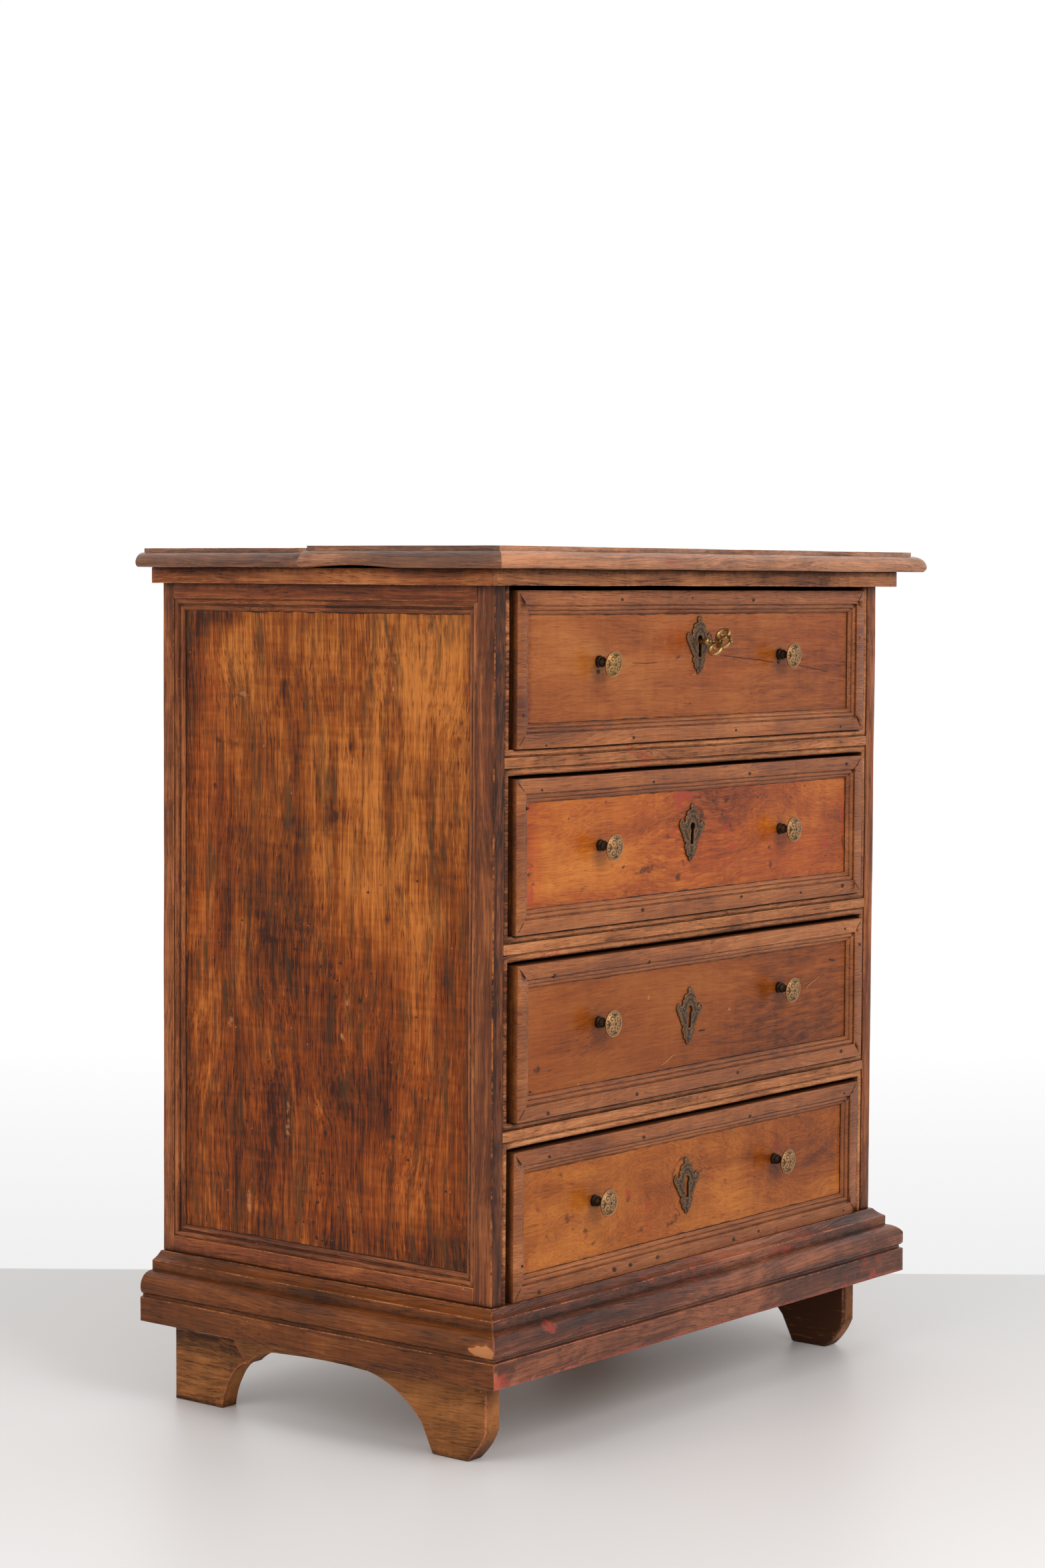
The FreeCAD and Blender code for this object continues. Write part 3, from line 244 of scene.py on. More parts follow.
class Tree:
    """The nodes of a material or a world, put down and joined by name."""

    def __init__(self, holder: Material | World) -> None:
        """Start with no nodes.

        Args:
            holder: The new material or world.
        """
        self.holder = holder
        holder.use_nodes = True
        self.nodes = holder.node_tree.nodes
        self.links = holder.node_tree.links
        self.nodes.clear()

    def add(self, kind: str, values: dict[str | int, object] | None = None,
            **settings: object) -> Node:
        """Put down a node.

        Args:
            kind: The node's type, without its prefix.
            values: What goes into its inputs, a value or another node's output.
            **settings: The node's own settings.

        Returns:
            The node.
        """
        node = self.nodes.new("ShaderNode" + kind)
        for key, value in settings.items():
            setattr(node, key, value)
        for key, value in (values or {}).items():
            self.feed(node.inputs[key], value)
        return node

    def feed(self, socket: Socket, value: object) -> None:
        """Give an input a value or another node's output.

        Args:
            socket: The input.
            value: What goes in.
        """
        if isinstance(value, Socket):
            self.links.new(value, socket)
        elif isinstance(value, tuple) and len(value) == 3 and socket.type == "RGBA":
            socket.default_value = (*value, 1.0)
        else:
            socket.default_value = value

    def attribute(self, name: str, output: str) -> Socket:
        """Read one of the mesh's own attributes."""
        return self.add("Attribute", attribute_name=name).outputs[output]

    def maths(self, operation: str, first: object, second: object = 0.0,
              clamp: bool = False) -> Socket:
        """Work out one sum of numbers or outputs, kept between 0 and 1 where it is clamped."""
        return self.add("Math", {0: first, 1: second}, operation=operation, use_clamp=clamp).outputs[0]

    def times(self, first: object, second: object) -> Socket:
        """Multiply two numbers or outputs."""
        return self.maths("MULTIPLY", first, second)

    def plus(self, first: object, second: object, clamp: bool = False) -> Socket:
        """Add two numbers or outputs."""
        return self.maths("ADD", first, second, clamp)

    def minus(self, first: object, second: object, clamp: bool = False) -> Socket:
        """Take one number or output from another."""
        return self.maths("SUBTRACT", first, second, clamp)

    def swing(self, share: object, width: float) -> Socket:
        """Centre a share of 0 to 1 on nothing, and widen it."""
        return self.times(self.minus(share, 0.5), width)

    def mix(self, share: object, first: object, second: object, blend: str = "MIX") -> Socket:
        """Mix two colours.

        Args:
            share: How much of the second.
            first: The first colour.
            second: The second colour.
            blend: How they are mixed.

        Returns:
            The mixed colour's socket.
        """
        node = self.add("Mix", data_type="RGBA", blend_type=blend)
        self.feed(node.inputs[0], share)
        self.feed(node.inputs[6], first)
        self.feed(node.inputs[7], second)
        return node.outputs[2]

    def ramp(self, share: object, low: float, high: float) -> Socket:
        """Spread a number's stretch from low to high over 0 to 1, smoothly."""
        node = self.add("MapRange", {0: share, 1: low, 2: high}, interpolation_type="SMOOTHSTEP")
        return node.outputs[0]

    def cloud(self, place: object, scale: float, detail: float = 2.0, warp: float = 0.0,
              rough: float = 0.5) -> Socket:
        """Lay down soft noise, mostly from 0.2 to 0.8, with so many blotches to a metre."""
        values = {"Vector": place, "Scale": scale, "Detail": detail, "Distortion": warp, "Roughness": rough}
        return self.add("TexNoise", values).outputs[0]

    def stretch(self, place: object, scale: Place) -> Socket:
        """Scale a place along its three axes."""
        return self.add("VectorMath", {0: place, 1: scale}, operation="MULTIPLY").outputs[0]

    def drawn(self, place: object, layer: Layer) -> Socket:
        """Lay down noise that is drawn out along a place's first coordinate."""
        stretched = self.stretch(place, (layer.along, layer.across, layer.across))
        return self.cloud(stretched, 1.0, layer.detail, layer.warp, layer.rough)

    def surface(self, colour: object, rough: object, bump: object, depth: float,
                **fixed: float) -> Material:
        """Close the material with its shader.

        Args:
            colour: The base colour.
            rough: The roughness.
            bump: The height of the fine relief.
            depth: How deep that relief is, in metres.
            **fixed: Values for the shader's other sockets.

        Returns:
            The finished material.
        """
        shader = self.add("BsdfPrincipled", {"Base Color": colour, "Roughness": rough})
        for key, value in fixed.items():
            shader.inputs[key.replace("_", " ")].default_value = value
        lift = self.add("Bump", {"Strength": 1.0, "Distance": depth, "Height": bump})
        self.links.new(lift.outputs[0], shader.inputs["Normal"])
        return self.close(shader)

    def close(self, last: Node, kind: str = "OutputMaterial") -> Material | World:
        """Join the last node to the output, and give back what holds the nodes."""
        self.links.new(last.outputs[0], self.add(kind).inputs[0])
        return self.holder


@dataclass(frozen=True)
class Walnut:
    """Old waxed walnut.

    The three tones go from its dark lines to its light ones. bands to ripple say how much
    its layers show and boards how far its boards differ. smoke, specks, worm, paint and chips
    are what the years did, and the darkening of its nooks stands for soiling and painted shade.
    gloss is its roughness and sheen how much it reflects.
    """

    name: str
    dark: Colour
    middle: Colour
    light: Colour
    worn: Colour = tint(186, 122, 78)
    # The colour of stains, and of the soiling and painted shade in the nooks.
    grime_and_shade: Colour = tint(46, 27, 19)
    bands: float = 0.7
    streaks: float = 0.75
    streak_scale: float = 95.0
    fibres: float = 0.75
    clouds: float = 0.9
    ripple: float = 0.14
    pores: float = 0.2
    smoke: float = 0.3
    specks: float = 0.1
    boards: float = 0.2
    sway: float = 0.05
    worm: float = 0.0
    paint: float = 0.0
    chips: float = 0.0
    dirt_and_shade: float = 0.92
    gloss: float = 0.34
    sheen: float = 0.2

    def material(self, grain: Grain, arris: bool = False) -> Material:
        """Make the wood for one way of grain, plain or rubbed, or find it where it is made."""
        name = f"{self.name}_{grain.name.lower()}{'_arris' if arris else ''}"
        return bpy.data.materials.get(name) or WoodMix(self, name, grain, arris).mixed()


class WoodMix:
    """A wood's material while it is mixed, from its grain up to its wax."""

    axes = {Grain.ACROSS: (0, 1, 2), Grain.DEEP: (1, 0, 2), Grain.UPRIGHT: (2, 0, 1)}
    # How far apart the boards of one wood are cut from the noise, in metres.
    board_shift: Place = (5.3, 3.1, 7.7)
    smoke: Colour = tint(62, 44, 22)
    red_paint: Colour = tint(158, 52, 34)
    red_ground: Colour = tint(100, 40, 24)
    red_cast: Colour = (1.0, 0.72, 0.6)
    worm_hole: Colour = tint(38, 22, 15)

    def __init__(self, wood: Walnut, name: str, grain: Grain, arris: bool) -> None:
        """Read the places and marks that every layer uses.

        Args:
            wood: The wood.
            name: The material's name.
            grain: The way its grain runs.
            arris: Whether it is the rubbed wood of an edge.
        """
        self.wood = wood
        self.arris = arris
        self.tree = Tree(bpy.data.materials.new(name))
        self.place = self.tree.add("TexCoord").outputs["Object"]
        self.board = self.tree.attribute("board", "Fac")
        self.history = self.tree.add("SeparateColor", {0: self.tree.attribute("history", "Color")}).outputs
        self.season = self.tree.add("SeparateColor", {0: self.tree.attribute("season", "Color")}).outputs
        self.line = self.lined_up(grain)
        self.bent = self.swayed()
        self.fibres = self.tree.drawn(self.bent, FIBRES)
        self.pores = self.tree.ramp(self.tree.drawn(self.bent, PORES), low=0.58, high=0.7)
        self.coarse = self.tree.cloud(self.place, 46.0, detail=3.0, warp=0.3, rough=0.6)
        self.broken = self.crumbled()

    def mixed(self) -> Material:
        """Mix the wood.

        Returns:
            The finished material.
        """
        tree = self.tree
        colour = self.reddened(self.shaded(self.tone()))
        colour = self.rubbed(self.smoked(colour))
        # The nooks darken by ambient occlusion, which paints shade into the colour along with soiling.
        dirt_and_shade, stain = self.dirt_and_shade(), self.ragged(self.history[Mark.STAIN.value], 0.6)
        colour = tree.mix(dirt_and_shade, colour, self.wood.grime_and_shade)
        colour = tree.mix(tree.times(stain, 0.8), colour, self.wood.grime_and_shade)
        colour = self.chipped(self.painted(colour))
        specks = self.pricks(85.0, 1, self.wood.specks, 1.0)
        colour = tree.mix(tree.times(specks, 0.6), colour, self.wood.worn)
        bump = tree.plus(tree.times(self.fibres, 0.5),
                          tree.times(self.coarse, 0.35))
        bump = tree.minus(bump, tree.times(self.pores, 0.3))
        if self.wood.worm:
            holes = self.pricks(62.0, 0, self.wood.worm, 1.1)
            colour = tree.mix(tree.times(holes, 0.85), colour, self.worm_hole)
            bump = tree.minus(bump, holes)
        wax = tree.plus(self.wood.gloss - 0.09, tree.times(self.broken, 0.15))
        dull = tree.times(tree.maths("MAXIMUM", dirt_and_shade, stain), 0.25)
        rough = tree.plus(wax, dull, clamp=True)
        return tree.surface(colour, rough, bump, 0.4 * MM, Specular_IOR_Level=self.wood.sheen)

    def lined_up(self, grain: Grain) -> Socket:
        """Turn places so that the first coordinate runs along the grain, other in every board."""
        parts = self.tree.add("SeparateXYZ", {0: self.place}).outputs
        ways = [self.tree.plus(parts[axis], self.tree.times(self.board, shift))
                for axis, shift in zip(self.axes[grain], self.board_shift)]
        return self.tree.add("CombineXYZ", dict(enumerate(ways))).outputs[0]

    def swayed(self) -> Socket:
        """Bend the lines of the grain a little."""
        swing = self.tree.swing(self.tree.drawn(self.line, SWAY), self.wood.sway)
        aside = self.tree.add("CombineXYZ", {1: swing, 2: swing}).outputs[0]
        return self.tree.add("VectorMath", {0: self.line, 1: aside}, operation="ADD").outputs[0]

    def crumbled(self) -> Socket:
        """Make the noise that breaks up every mark's edge."""
        fine = self.tree.cloud(self.place, 210.0, detail=3.0, rough=0.6)
        both = self.tree.plus(self.tree.times(fine, 1.1),
                               self.tree.times(self.coarse, 1.1))
        return self.tree.minus(both, 0.5)

    def ragged(self, mark: Socket, width: float) -> Socket:
        """Break up a mark's edge, over a width that says how soft it gets."""
        level = self.tree.plus(mark, self.tree.minus(self.broken, 1.0))
        return self.tree.ramp(level, low=0.0, high=width)

    def tone(self) -> Socket:
        """Work out the wood's tone, from its layers and its pale and dark marks, which in places paint
        highlights and shade.

        Returns:
            The tone's socket, 0 to 1.
        """
        tree, wood = self.tree, self.wood
        streaks = Layer(2.4, wood.streak_scale, 5.0, warp=0.3, rough=0.66)
        tone = tree.plus(0.5, tree.swing(self.board, wood.boards))
        for share, layer in ((wood.bands, tree.drawn(self.bent, BANDS)),
                             (wood.streaks, tree.drawn(self.bent, streaks)),
                             (wood.fibres, self.fibres),
                             (wood.clouds, tree.drawn(self.line, CLOUDS)),
                             (wood.ripple, tree.drawn(self.bent, RIPPLE))):
            tone = tree.plus(tone, tree.swing(layer, share))
        tone = tree.minus(tone, tree.times(self.pores, wood.pores))
        pale, dim = self.season[0], self.season[1]
        tone = tree.plus(tone, tree.times(pale, 0.3))
        torn = tree.ramp(tree.drawn(self.bent, RAGGED), low=0.36, high=0.6)
        dim = tree.times(dim, tree.plus(tree.times(torn, 0.8), 0.4))
        return tree.minus(tone, tree.times(dim, 0.36), clamp=True)

    def shaded(self, tone: Socket) -> Socket:
        """Turn a tone into the wood's own colours.

        Args:
            tone: How light the wood is.

        Returns:
            The colour's socket.
        """
        shades = self.tree.add("ValToRGB", {0: tone})
        low, high = shades.color_ramp.elements
        low.position, high.position = 0.12, 0.88
        low.color = (*self.wood.dark, 1)
        high.color = (*self.wood.light, 1)
        shades.color_ramp.elements.new(0.5).color = (*self.wood.middle, 1)
        return shades.outputs[0]

    def reddened(self, colour: Socket) -> Socket:
        """Redden the wood where its red marks are."""
        share = self.tree.times(self.season[2], 0.75)
        return self.tree.mix(share, colour, self.red_cast, blend="MULTIPLY")

    def smoked(self, colour: Socket) -> Socket:
        """Draw streaks of old smoke over the wood."""
        haze = self.tree.ramp(self.tree.drawn(self.bent, HAZE), low=0.47, high=0.7)
        return self.tree.mix(self.tree.times(haze, self.wood.smoke), colour, self.smoke)

    def rubbed(self, colour: Socket) -> Socket:
        """Rub the wood bare at its marks and, on an arris, here and there.

        Args:
            colour: The colour so far.

        Returns:
            The rubbed colour's socket.
        """
        tree = self.tree
        bare = self.ragged(self.history[Mark.RUBBED.value], 0.5)
        colour = tree.mix(tree.times(bare, 0.8), colour, self.wood.worn)
        if self.arris:
            rhythm = tree.minus(tree.cloud(self.place, 12.0), 0.5)
            worn = tree.ramp(tree.plus(self.broken, rhythm), low=0.46, high=0.9)
            colour = tree.mix(tree.times(worn, 0.62), colour, self.wood.worn)
        return colour

    def dirt_and_shade(self) -> Socket:
        """Find the nooks by ambient occlusion and say how dark they go: painted shade, with the soiling that
        collects there.
        """
        tree = self.tree
        reach = {"Distance": 13.0 * MM, "Color": (1.0, 1.0, 1.0)}
        nook = tree.minus(1.0, tree.add("AmbientOcclusion", reach, samples=6).outputs["AO"])
        uneven = tree.times(tree.minus(self.broken, 0.6), 0.5)
        nook_darkness = tree.ramp(tree.plus(nook, uneven), low=0.16, high=0.62)
        return tree.times(nook_darkness, self.wood.dirt_and_shade)

    def painted(self, colour: Socket) -> Socket:
        """Leave traces of red paint at the paint marks and, on some woods, astray.

        Args:
            colour: The colour so far.

        Returns:
            The painted colour's socket.
        """
        tree = self.tree
        red = self.ragged(self.history[Mark.PAINT.value], 0.5)
        if self.wood.paint:
            drawn = tree.stretch(self.place, (11.0, 11.0, 26.0))
            level = tree.cloud(drawn, 1.0, detail=4.0, warp=0.5, rough=0.65)
            stray = tree.times(tree.ramp(level, low=0.58, high=0.68),
                               tree.ramp(self.broken, low=0.5, high=0.75))
            red = tree.maths("MAXIMUM", red, tree.times(stray, self.wood.paint))
        return tree.mix(tree.times(red, 0.7), colour, self.red_paint)

    def chipped(self, colour: Socket) -> Socket:
        """Fleck the wood where its finish has chipped off."""
        if not self.wood.chips:
            return colour
        gone = self.tree.ramp(self.tree.drawn(self.bent, FLECKS), low=0.66, high=0.7)
        return self.tree.mix(self.tree.times(gone, self.wood.chips), colour, self.red_ground)

    def pricks(self, scale: float, channel: int, share: float, radius: float) -> Socket:
        """Scatter small round dots.

        Args:
            scale: How many cells to a metre.
            channel: Which share of a cell's colour says whether it has a dot.
            share: The share of cells that have one.
            radius: The largest dot's radius, in millimetres.

        Returns:
            A socket that is 1 on the dots.
        """
        tree = self.tree
        cells = tree.add("TexVoronoi", {"Vector": self.place, "Scale": scale}, feature="F1")
        chance = tree.add("SeparateColor", {0: cells.outputs["Color"]}).outputs[channel]
        reach = tree.times(tree.ramp(chance, low=1.0 - share, high=1.0), radius * MM)
        return tree.maths("LESS_THAN", tree.maths("DIVIDE", cells.outputs["Distance"], scale), reach)


@dataclass(frozen=True)
class Metal:
    """Old metal: bright where hands have rubbed its relief, dull and dark in the hollows."""

    name: str
    bright: Colour
    dull: Colour
    metallic: float = 0.85
    gloss: float = 0.38

    def material(self) -> Material:
        """Make the metal, or find it where it is made already."""
        return bpy.data.materials.get(self.name) or self.made()

    def made(self) -> Material:
        """Make the metal.

        Returns:
            The material.
        """
        tree = Tree(bpy.data.materials.new(self.name))
        place = tree.add("TexCoord").outputs["Object"]
        fine = tree.cloud(place, 420.0, detail=3.0, warp=0.2, rough=0.6)
        patch = tree.cloud(place, 90.0)
        share = tree.plus(tree.attribute("relief", "Fac"), tree.swing(fine, 0.7))
        share = tree.plus(share, tree.swing(patch, 0.6))
        colour = tree.mix(tree.ramp(share, low=-0.15, high=1.1), self.dull, self.bright)
        rough = tree.plus(self.gloss, tree.times(patch, 0.22), clamp=True)
        return tree.surface(colour, rough, fine, 0.1 * MM, Metallic=self.metallic)


TOP_WOOD = Walnut(
    "top_walnut", tint(50, 23, 11), tint(118, 69, 38), tint(188, 122, 78), worn=tint(208, 148, 108),
    streaks=0.9, streak_scale=100.0, clouds=1.0, smoke=0.14, paint=0.6, chips=0.4, sheen=0.5, gloss=0.2)
FRIEZE_WOOD = Walnut(
    "frieze_walnut", tint(66, 28, 13), tint(138, 74, 36), tint(196, 122, 68), worn=tint(210, 138, 80),
    streaks=0.8, clouds=1.0, smoke=0.1, paint=0.25)
SIDE_RAIL_WOOD = Walnut(
    "side_rail_walnut", tint(52, 22, 11), tint(120, 60, 30), tint(174, 98, 50), worn=tint(206, 128, 66),
    streaks=0.8, smoke=0.15, paint=0.2)
CASE_WOOD = Walnut(
    "case_walnut", tint(44, 21, 12), tint(108, 56, 28), tint(176, 104, 58), worn=tint(196, 112, 48),
    streaks=0.9, streak_scale=130.0, smoke=0.12, worm=0.03)
PANEL_WOOD = Walnut(
    "panel_walnut", tint(54, 20, 5), tint(136, 65, 11), tint(195, 116, 48), bands=0.6, streaks=0.85,
    streak_scale=130.0, clouds=1.1, fibres=0.85, pores=0.34, ripple=0.3, smoke=0.76, specks=0.6, worm=0.25,
    gloss=0.36, sheen=0.16)
RAIL_WOOD = Walnut(
    "rail_walnut", tint(72, 34, 15), tint(160, 98, 56), tint(214, 144, 94), worn=tint(214, 146, 98),
    streaks=0.5, clouds=1.0, smoke=0.07, paint=0.6, chips=0.4)
STRIP_WOOD = Walnut(
    "strip_walnut", tint(84, 37, 12), tint(143, 79, 34), tint(186, 118, 66), worn=tint(214, 148, 98),
    streaks=0.36, clouds=0.8, smoke=0.05, boards=0.25, chips=0.3, dirt_and_shade=0.8, sheen=0.36)
FRONT_1 = Walnut(
    "front_1_walnut", tint(88, 32, 8), tint(146, 76, 27), tint(174, 106, 50), bands=0.5, streaks=0.34,
    clouds=0.9, fibres=0.55, pores=0.12, smoke=0.06, gloss=0.26, sheen=0.22)
FRONT_2 = Walnut(
    "front_2_walnut", tint(84, 25, 3), tint(157, 73, 14), tint(199, 117, 38), bands=0.6, streaks=0.34,
    clouds=0.9, fibres=0.55, pores=0.14, smoke=0.08, worm=0.1, sway=0.12, chips=0.75, gloss=0.26,
    sheen=0.28)
FRONT_3 = Walnut(
    "front_3_walnut", tint(75, 29, 6), tint(136, 67, 17), tint(160, 92, 37), bands=0.5, streaks=0.34,
    clouds=0.8, fibres=0.55, pores=0.12, smoke=0.06, gloss=0.26, sheen=0.22)
FRONT_4 = Walnut(
    "front_4_walnut", tint(82, 29, 4), tint(146, 73, 14), tint(186, 108, 36), bands=0.6, streaks=0.4,
    clouds=1.0, fibres=0.55, ripple=0.2, pores=0.14, smoke=0.16, worm=0.07, sway=0.2, chips=0.6, gloss=0.26,
    sheen=0.22)
BASE_WOOD = Walnut(
    "base_walnut", tint(52, 25, 8), tint(115, 59, 18), tint(166, 100, 50), worn=tint(190, 124, 76),
    streaks=0.6, streak_scale=60.0, clouds=0.8, smoke=0.2)
BASE_FRONT_WOOD = Walnut(
    "base_front_walnut", tint(30, 12, 7), tint(91, 45, 24), tint(156, 90, 56), worn=tint(196, 112, 84),
    clouds=1.4, smoke=0.2, paint=0.5, chips=0.4, gloss=0.25, sheen=0.3)
FOOT_WOOD = Walnut(
    "foot_walnut", tint(66, 36, 17), tint(152, 94, 48), tint(192, 127, 74), worn=tint(200, 118, 88),
    streaks=0.35, streak_scale=40.0, fibres=0.6, clouds=1.1, dirt_and_shade=0.7, gloss=0.48, sheen=0.14)
HIDDEN_WOOD = Walnut(
    "hidden_pine", tint(100, 66, 38), tint(156, 112, 70), tint(190, 148, 102), streaks=0.9,
    streak_scale=70.0, clouds=0.6, smoke=0.12, dirt_and_shade=0.6, gloss=0.6)
PLUG_WOOD = Walnut("plug_wood", tint(32, 18, 12), tint(56, 31, 20), tint(80, 46, 30), dirt_and_shade=0.2)
SCRATCH_WOOD = Walnut(
    "scratched_wood", tint(170, 110, 70), tint(206, 150, 104), tint(226, 180, 136), dirt_and_shade=0.2)

GOLD_BRASS = Metal("gold_brass", tint(172, 130, 80), tint(64, 44, 24))
OLD_BRASS = Metal("old_brass", tint(172, 130, 88), tint(58, 40, 26))
PLATE_BRASS = Metal("plate_brass", tint(124, 90, 60), tint(52, 35, 23), metallic=0.6, gloss=0.42)
KEY_BRASS = Metal("key_brass", tint(200, 160, 100), tint(76, 54, 28), gloss=0.26)
BRONZE = Metal("dark_bronze", tint(92, 70, 46), tint(24, 17, 12), gloss=0.3)
IRON = Metal("old_iron", tint(96, 92, 88), tint(34, 30, 28), gloss=0.34)


class Bench:
    """The tools that every piece is made with."""

    low: Vector = Vector((0, 0, 0))
    high: Vector = Vector((0, 0, 0))
    # How near two vertices are one, in metres, and at what angles faces are one or meet in an arris.
    weld: float = 0.00001
    flat: float = 0.008
    arris: float = 0.55
    # A planed face's broad and close waves to a metre, and the close ones' share.
    broad_waves: float = 9.0
    close_waves: float = 46.0
    close_share: float = 0.35
    # How far marks stray from their outlines, in millimetres.
    stray: float = 0.7

    @classmethod
    def measure(cls) -> tuple[Vector, Vector]:
        """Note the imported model's box, which nothing may leave."""
        cls.low, cls.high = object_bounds()
        return cls.low, cls.high

    @classmethod
    def copy_node(cls, node: str) -> BMesh:
        """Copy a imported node's solids as clean flat faces.

        Args:
            node: The node's name.

        Returns:
            The copy.
        """
        made = bmesh.new()
        made.from_mesh(bpy.data.objects[node].data)
        bmesh.ops.remove_doubles(made, verts=made.verts[:], dist=cls.weld)
        bmesh.ops.dissolve_limit(made, angle_limit=cls.flat, verts=made.verts[:], edges=made.edges[:])
        for face in made.faces:
            face.material_index = 0
        return made

    @classmethod
    def ease(cls, made: BMesh, width: float) -> None:
        """Round the outer arrises, and give them the rubbed wood.

        Args:
            made: The piece.
            width: How wide the rounding is, in metres.
        """
        sharp = [edge for edge in made.edges
                 if edge.is_manifold and edge.is_convex and edge.calc_face_angle(0.0) > cls.arris]
        rounded = bmesh.ops.bevel(made, geom=sharp, offset=width, segments=2, profile=0.5, affect="EDGES",
                                  clamp_overlap=True, material=-1)["faces"]
        for face in rounded:
            face.material_index = 1

    @staticmethod
    def slice(made: BMesh, axis: int, spacing: float) -> None:
        """Cut a piece across an axis, so that its faces can wander and take marks.

        Args:
            made: The piece.
            axis: The axis that the cuts are square to.
            spacing: How far apart they are.
        """
        spread = [vertex.co[axis] for vertex in made.verts]
        start, stop = min(spread), max(spread)
        count = max(1, round((stop - start) / spacing))
        for step in range(1, count):
            bmesh.ops.bisect_plane(made, geom=made.verts[:] + made.edges[:] + made.faces[:], dist=0.001 * MM,
                                   plane_co=along(axis, start + (stop - start) * step / count),
                                   plane_no=along(axis, 1.0))

    @staticmethod
    def thicken(made: BMesh, faces: Sequence[BMFace], push: Vector) -> None:
        """Give flat faces thickness, their copies going as far as they are pushed."""
        out = bmesh.ops.extrude_face_region(made, geom=faces)["geom"]
        bmesh.ops.translate(made, vec=push, verts=[item for item in out if isinstance(item, BMVert)])

    @classmethod
    def wander(cls, made: BMesh, amount: float) -> None:
        """Let the faces wander as hand-planed, shrunken wood does.

        Args:
            made: The piece.
            amount: How far they stray, in metres.
        """
        for vertex in made.verts:
            place = vertex.co
            broad = noise.noise_vector(place * cls.broad_waves)
            close = noise.noise_vector(place * cls.close_waves)
            moved = place + broad * amount + close * (amount * cls.close_share)
            vertex.co = Vector(map(max, cls.low, map(min, cls.high, moved)))

    @staticmethod
    def islands(made: BMesh) -> list[list[BMVert]]:
        """Part a mesh into its separate solids.

        Args:
            made: The mesh.

        Returns:
            Each solid's vertices.
        """
        found = []
        seen: set[BMVert] = set()
        for start in made.verts:
            if start in seen:
                continue
            seen.add(start)
            solid = [start]
            for vertex in solid:
                for edge in vertex.link_edges:
                    other = edge.other_vert(vertex)
                    if other not in seen:
                        seen.add(other)
                        solid.append(other)
            found.append(solid)
        return found

    @staticmethod
    def seed(node: str) -> float:
        """Draw a number of a node's own from its name."""
        return sum(map(ord, node)) * 0.137

    @classmethod
    def grain(cls, made: BMesh, seed: float, fixed: Grain | None = None,
              framed: tuple[int, int] | None = None, border: float = 1.0) -> None:
        """Give each solid its own board and the wood that runs its way.

        Args:
            made: The mesh.
            seed: A number of the piece's own.
            fixed: The way the grain runs, where it isn't each solid's longest way.
            framed: The two axes of a mitred frame, whose grain follows its sides.
            border: How wide the frame's first pair of sides is, in metres.
        """
        board = made.verts.layers.float.new("board")
        for index, solid in enumerate(cls.islands(made)):
            low = [min(vertex.co[axis] for vertex in solid) for axis in range(3)]
            high = [max(vertex.co[axis] for vertex in solid) for axis in range(3)]
            spans = [top - bottom for bottom, top in zip(low, high)]
            way = spans.index(max(spans)) if fixed is None else fixed.value
            value = (seed * 0.618 + index * 0.382) % 1.0
            for vertex in solid:
                vertex[board] = value
            for face in {face for vertex in solid for face in vertex.link_faces}:
                run = way
                if framed:
                    first, second = framed
                    middle = face.calc_center_median()
                    beside = min(middle[first] - low[first], high[first] - middle[first])
                    above = min(middle[second] - low[second], high[second] - middle[second])
                    if beside < min(above, border):
                        run = second
                    elif border >= 1.0:
                        run = first
                face.material_index = run + (len(Grain) if face.material_index else 0)

    @classmethod
    def paint(cls, mesh: bpy.types.Mesh, marks: Marks, across: int, up: int,
              only: Where | None = None) -> None:
        """Put marks on a mesh as colours that its wood reads.

        Args:
            mesh: The mesh.
            marks: The marks.
            across: The axis of their first coordinate.
            up: The axis of their second.
            only: Which points take them, from their places in millimetres.
        """
        places = np.empty(len(mesh.vertices) * 3)
        mesh.vertices.foreach_get("co", places)
        places = places.reshape(-1, 3) / MM
        layers = np.zeros((len(places), len(Mark)))
        x, z = places[:, across], places[:, up]
        first = x + cls.stray * (np.sin(x / 3.1 + 2.0 * np.sin(z / 5.3)) + np.sin(z / 2.3 + x / 7.9))
        second = z + cls.stray * (np.sin(z / 2.9 + 2.0 * np.sin(x / 4.7)) + np.sin(x / 2.1 - z / 6.7))
        for mark in marks:
            covered = layers[:, mark.mark.value]
            np.maximum(covered, mark.cover(first, second), out=covered)
        if only is not None:
            layers *= only(places)[:, None]
        for name, start in MARK_LAYERS.items():
            colours = np.ones((len(places), 4))
            colours[:, :3] = layers[:, start:start + 3]
            layer = mesh.color_attributes.new(name, "FLOAT_COLOR", "POINT")
            layer.data.foreach_set("color", colours.ravel())

    @classmethod
    def piece(cls, name: str, made: BMesh, materials: Sequence[Material], body: str,
              slot: str, nodes: Sequence[str] = (), smooth: float = 35.0) -> Object:
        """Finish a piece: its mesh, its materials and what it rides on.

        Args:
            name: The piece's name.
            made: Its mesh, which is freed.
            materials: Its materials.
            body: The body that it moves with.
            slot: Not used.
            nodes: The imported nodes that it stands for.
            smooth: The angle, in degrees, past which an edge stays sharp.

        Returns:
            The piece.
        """
        mesh = bpy.data.meshes.new(name)
        made.to_mesh(mesh)
        made.free()
        for material in materials:
            mesh.materials.append(material)
        mesh.shade_smooth()
        mesh.set_sharp_from_angle(angle=math.radians(smooth))
        thing = cls.put(name, mesh)
        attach(thing, body)
        if nodes:
            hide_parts(*nodes)
        LOG.info("%s: %d vertices, rides on %s", name, len(mesh.vertices), body)
        return thing

    @classmethod
    def worn(cls, node: str, made: BMesh, wood: Walnut, body: str, slot: str) -> Object:
        """Finish the worn copy of a node in its wood."""
        return cls.piece(f"worn_{node}", made, cls.woods(wood), body, slot, [node])

    @staticmethod
    def woods(wood: Walnut) -> list[Material]:
        """List a wood's six materials, plain and rubbed."""
        return [wood.material(way, arris) for arris in (False, True) for way in Grain]

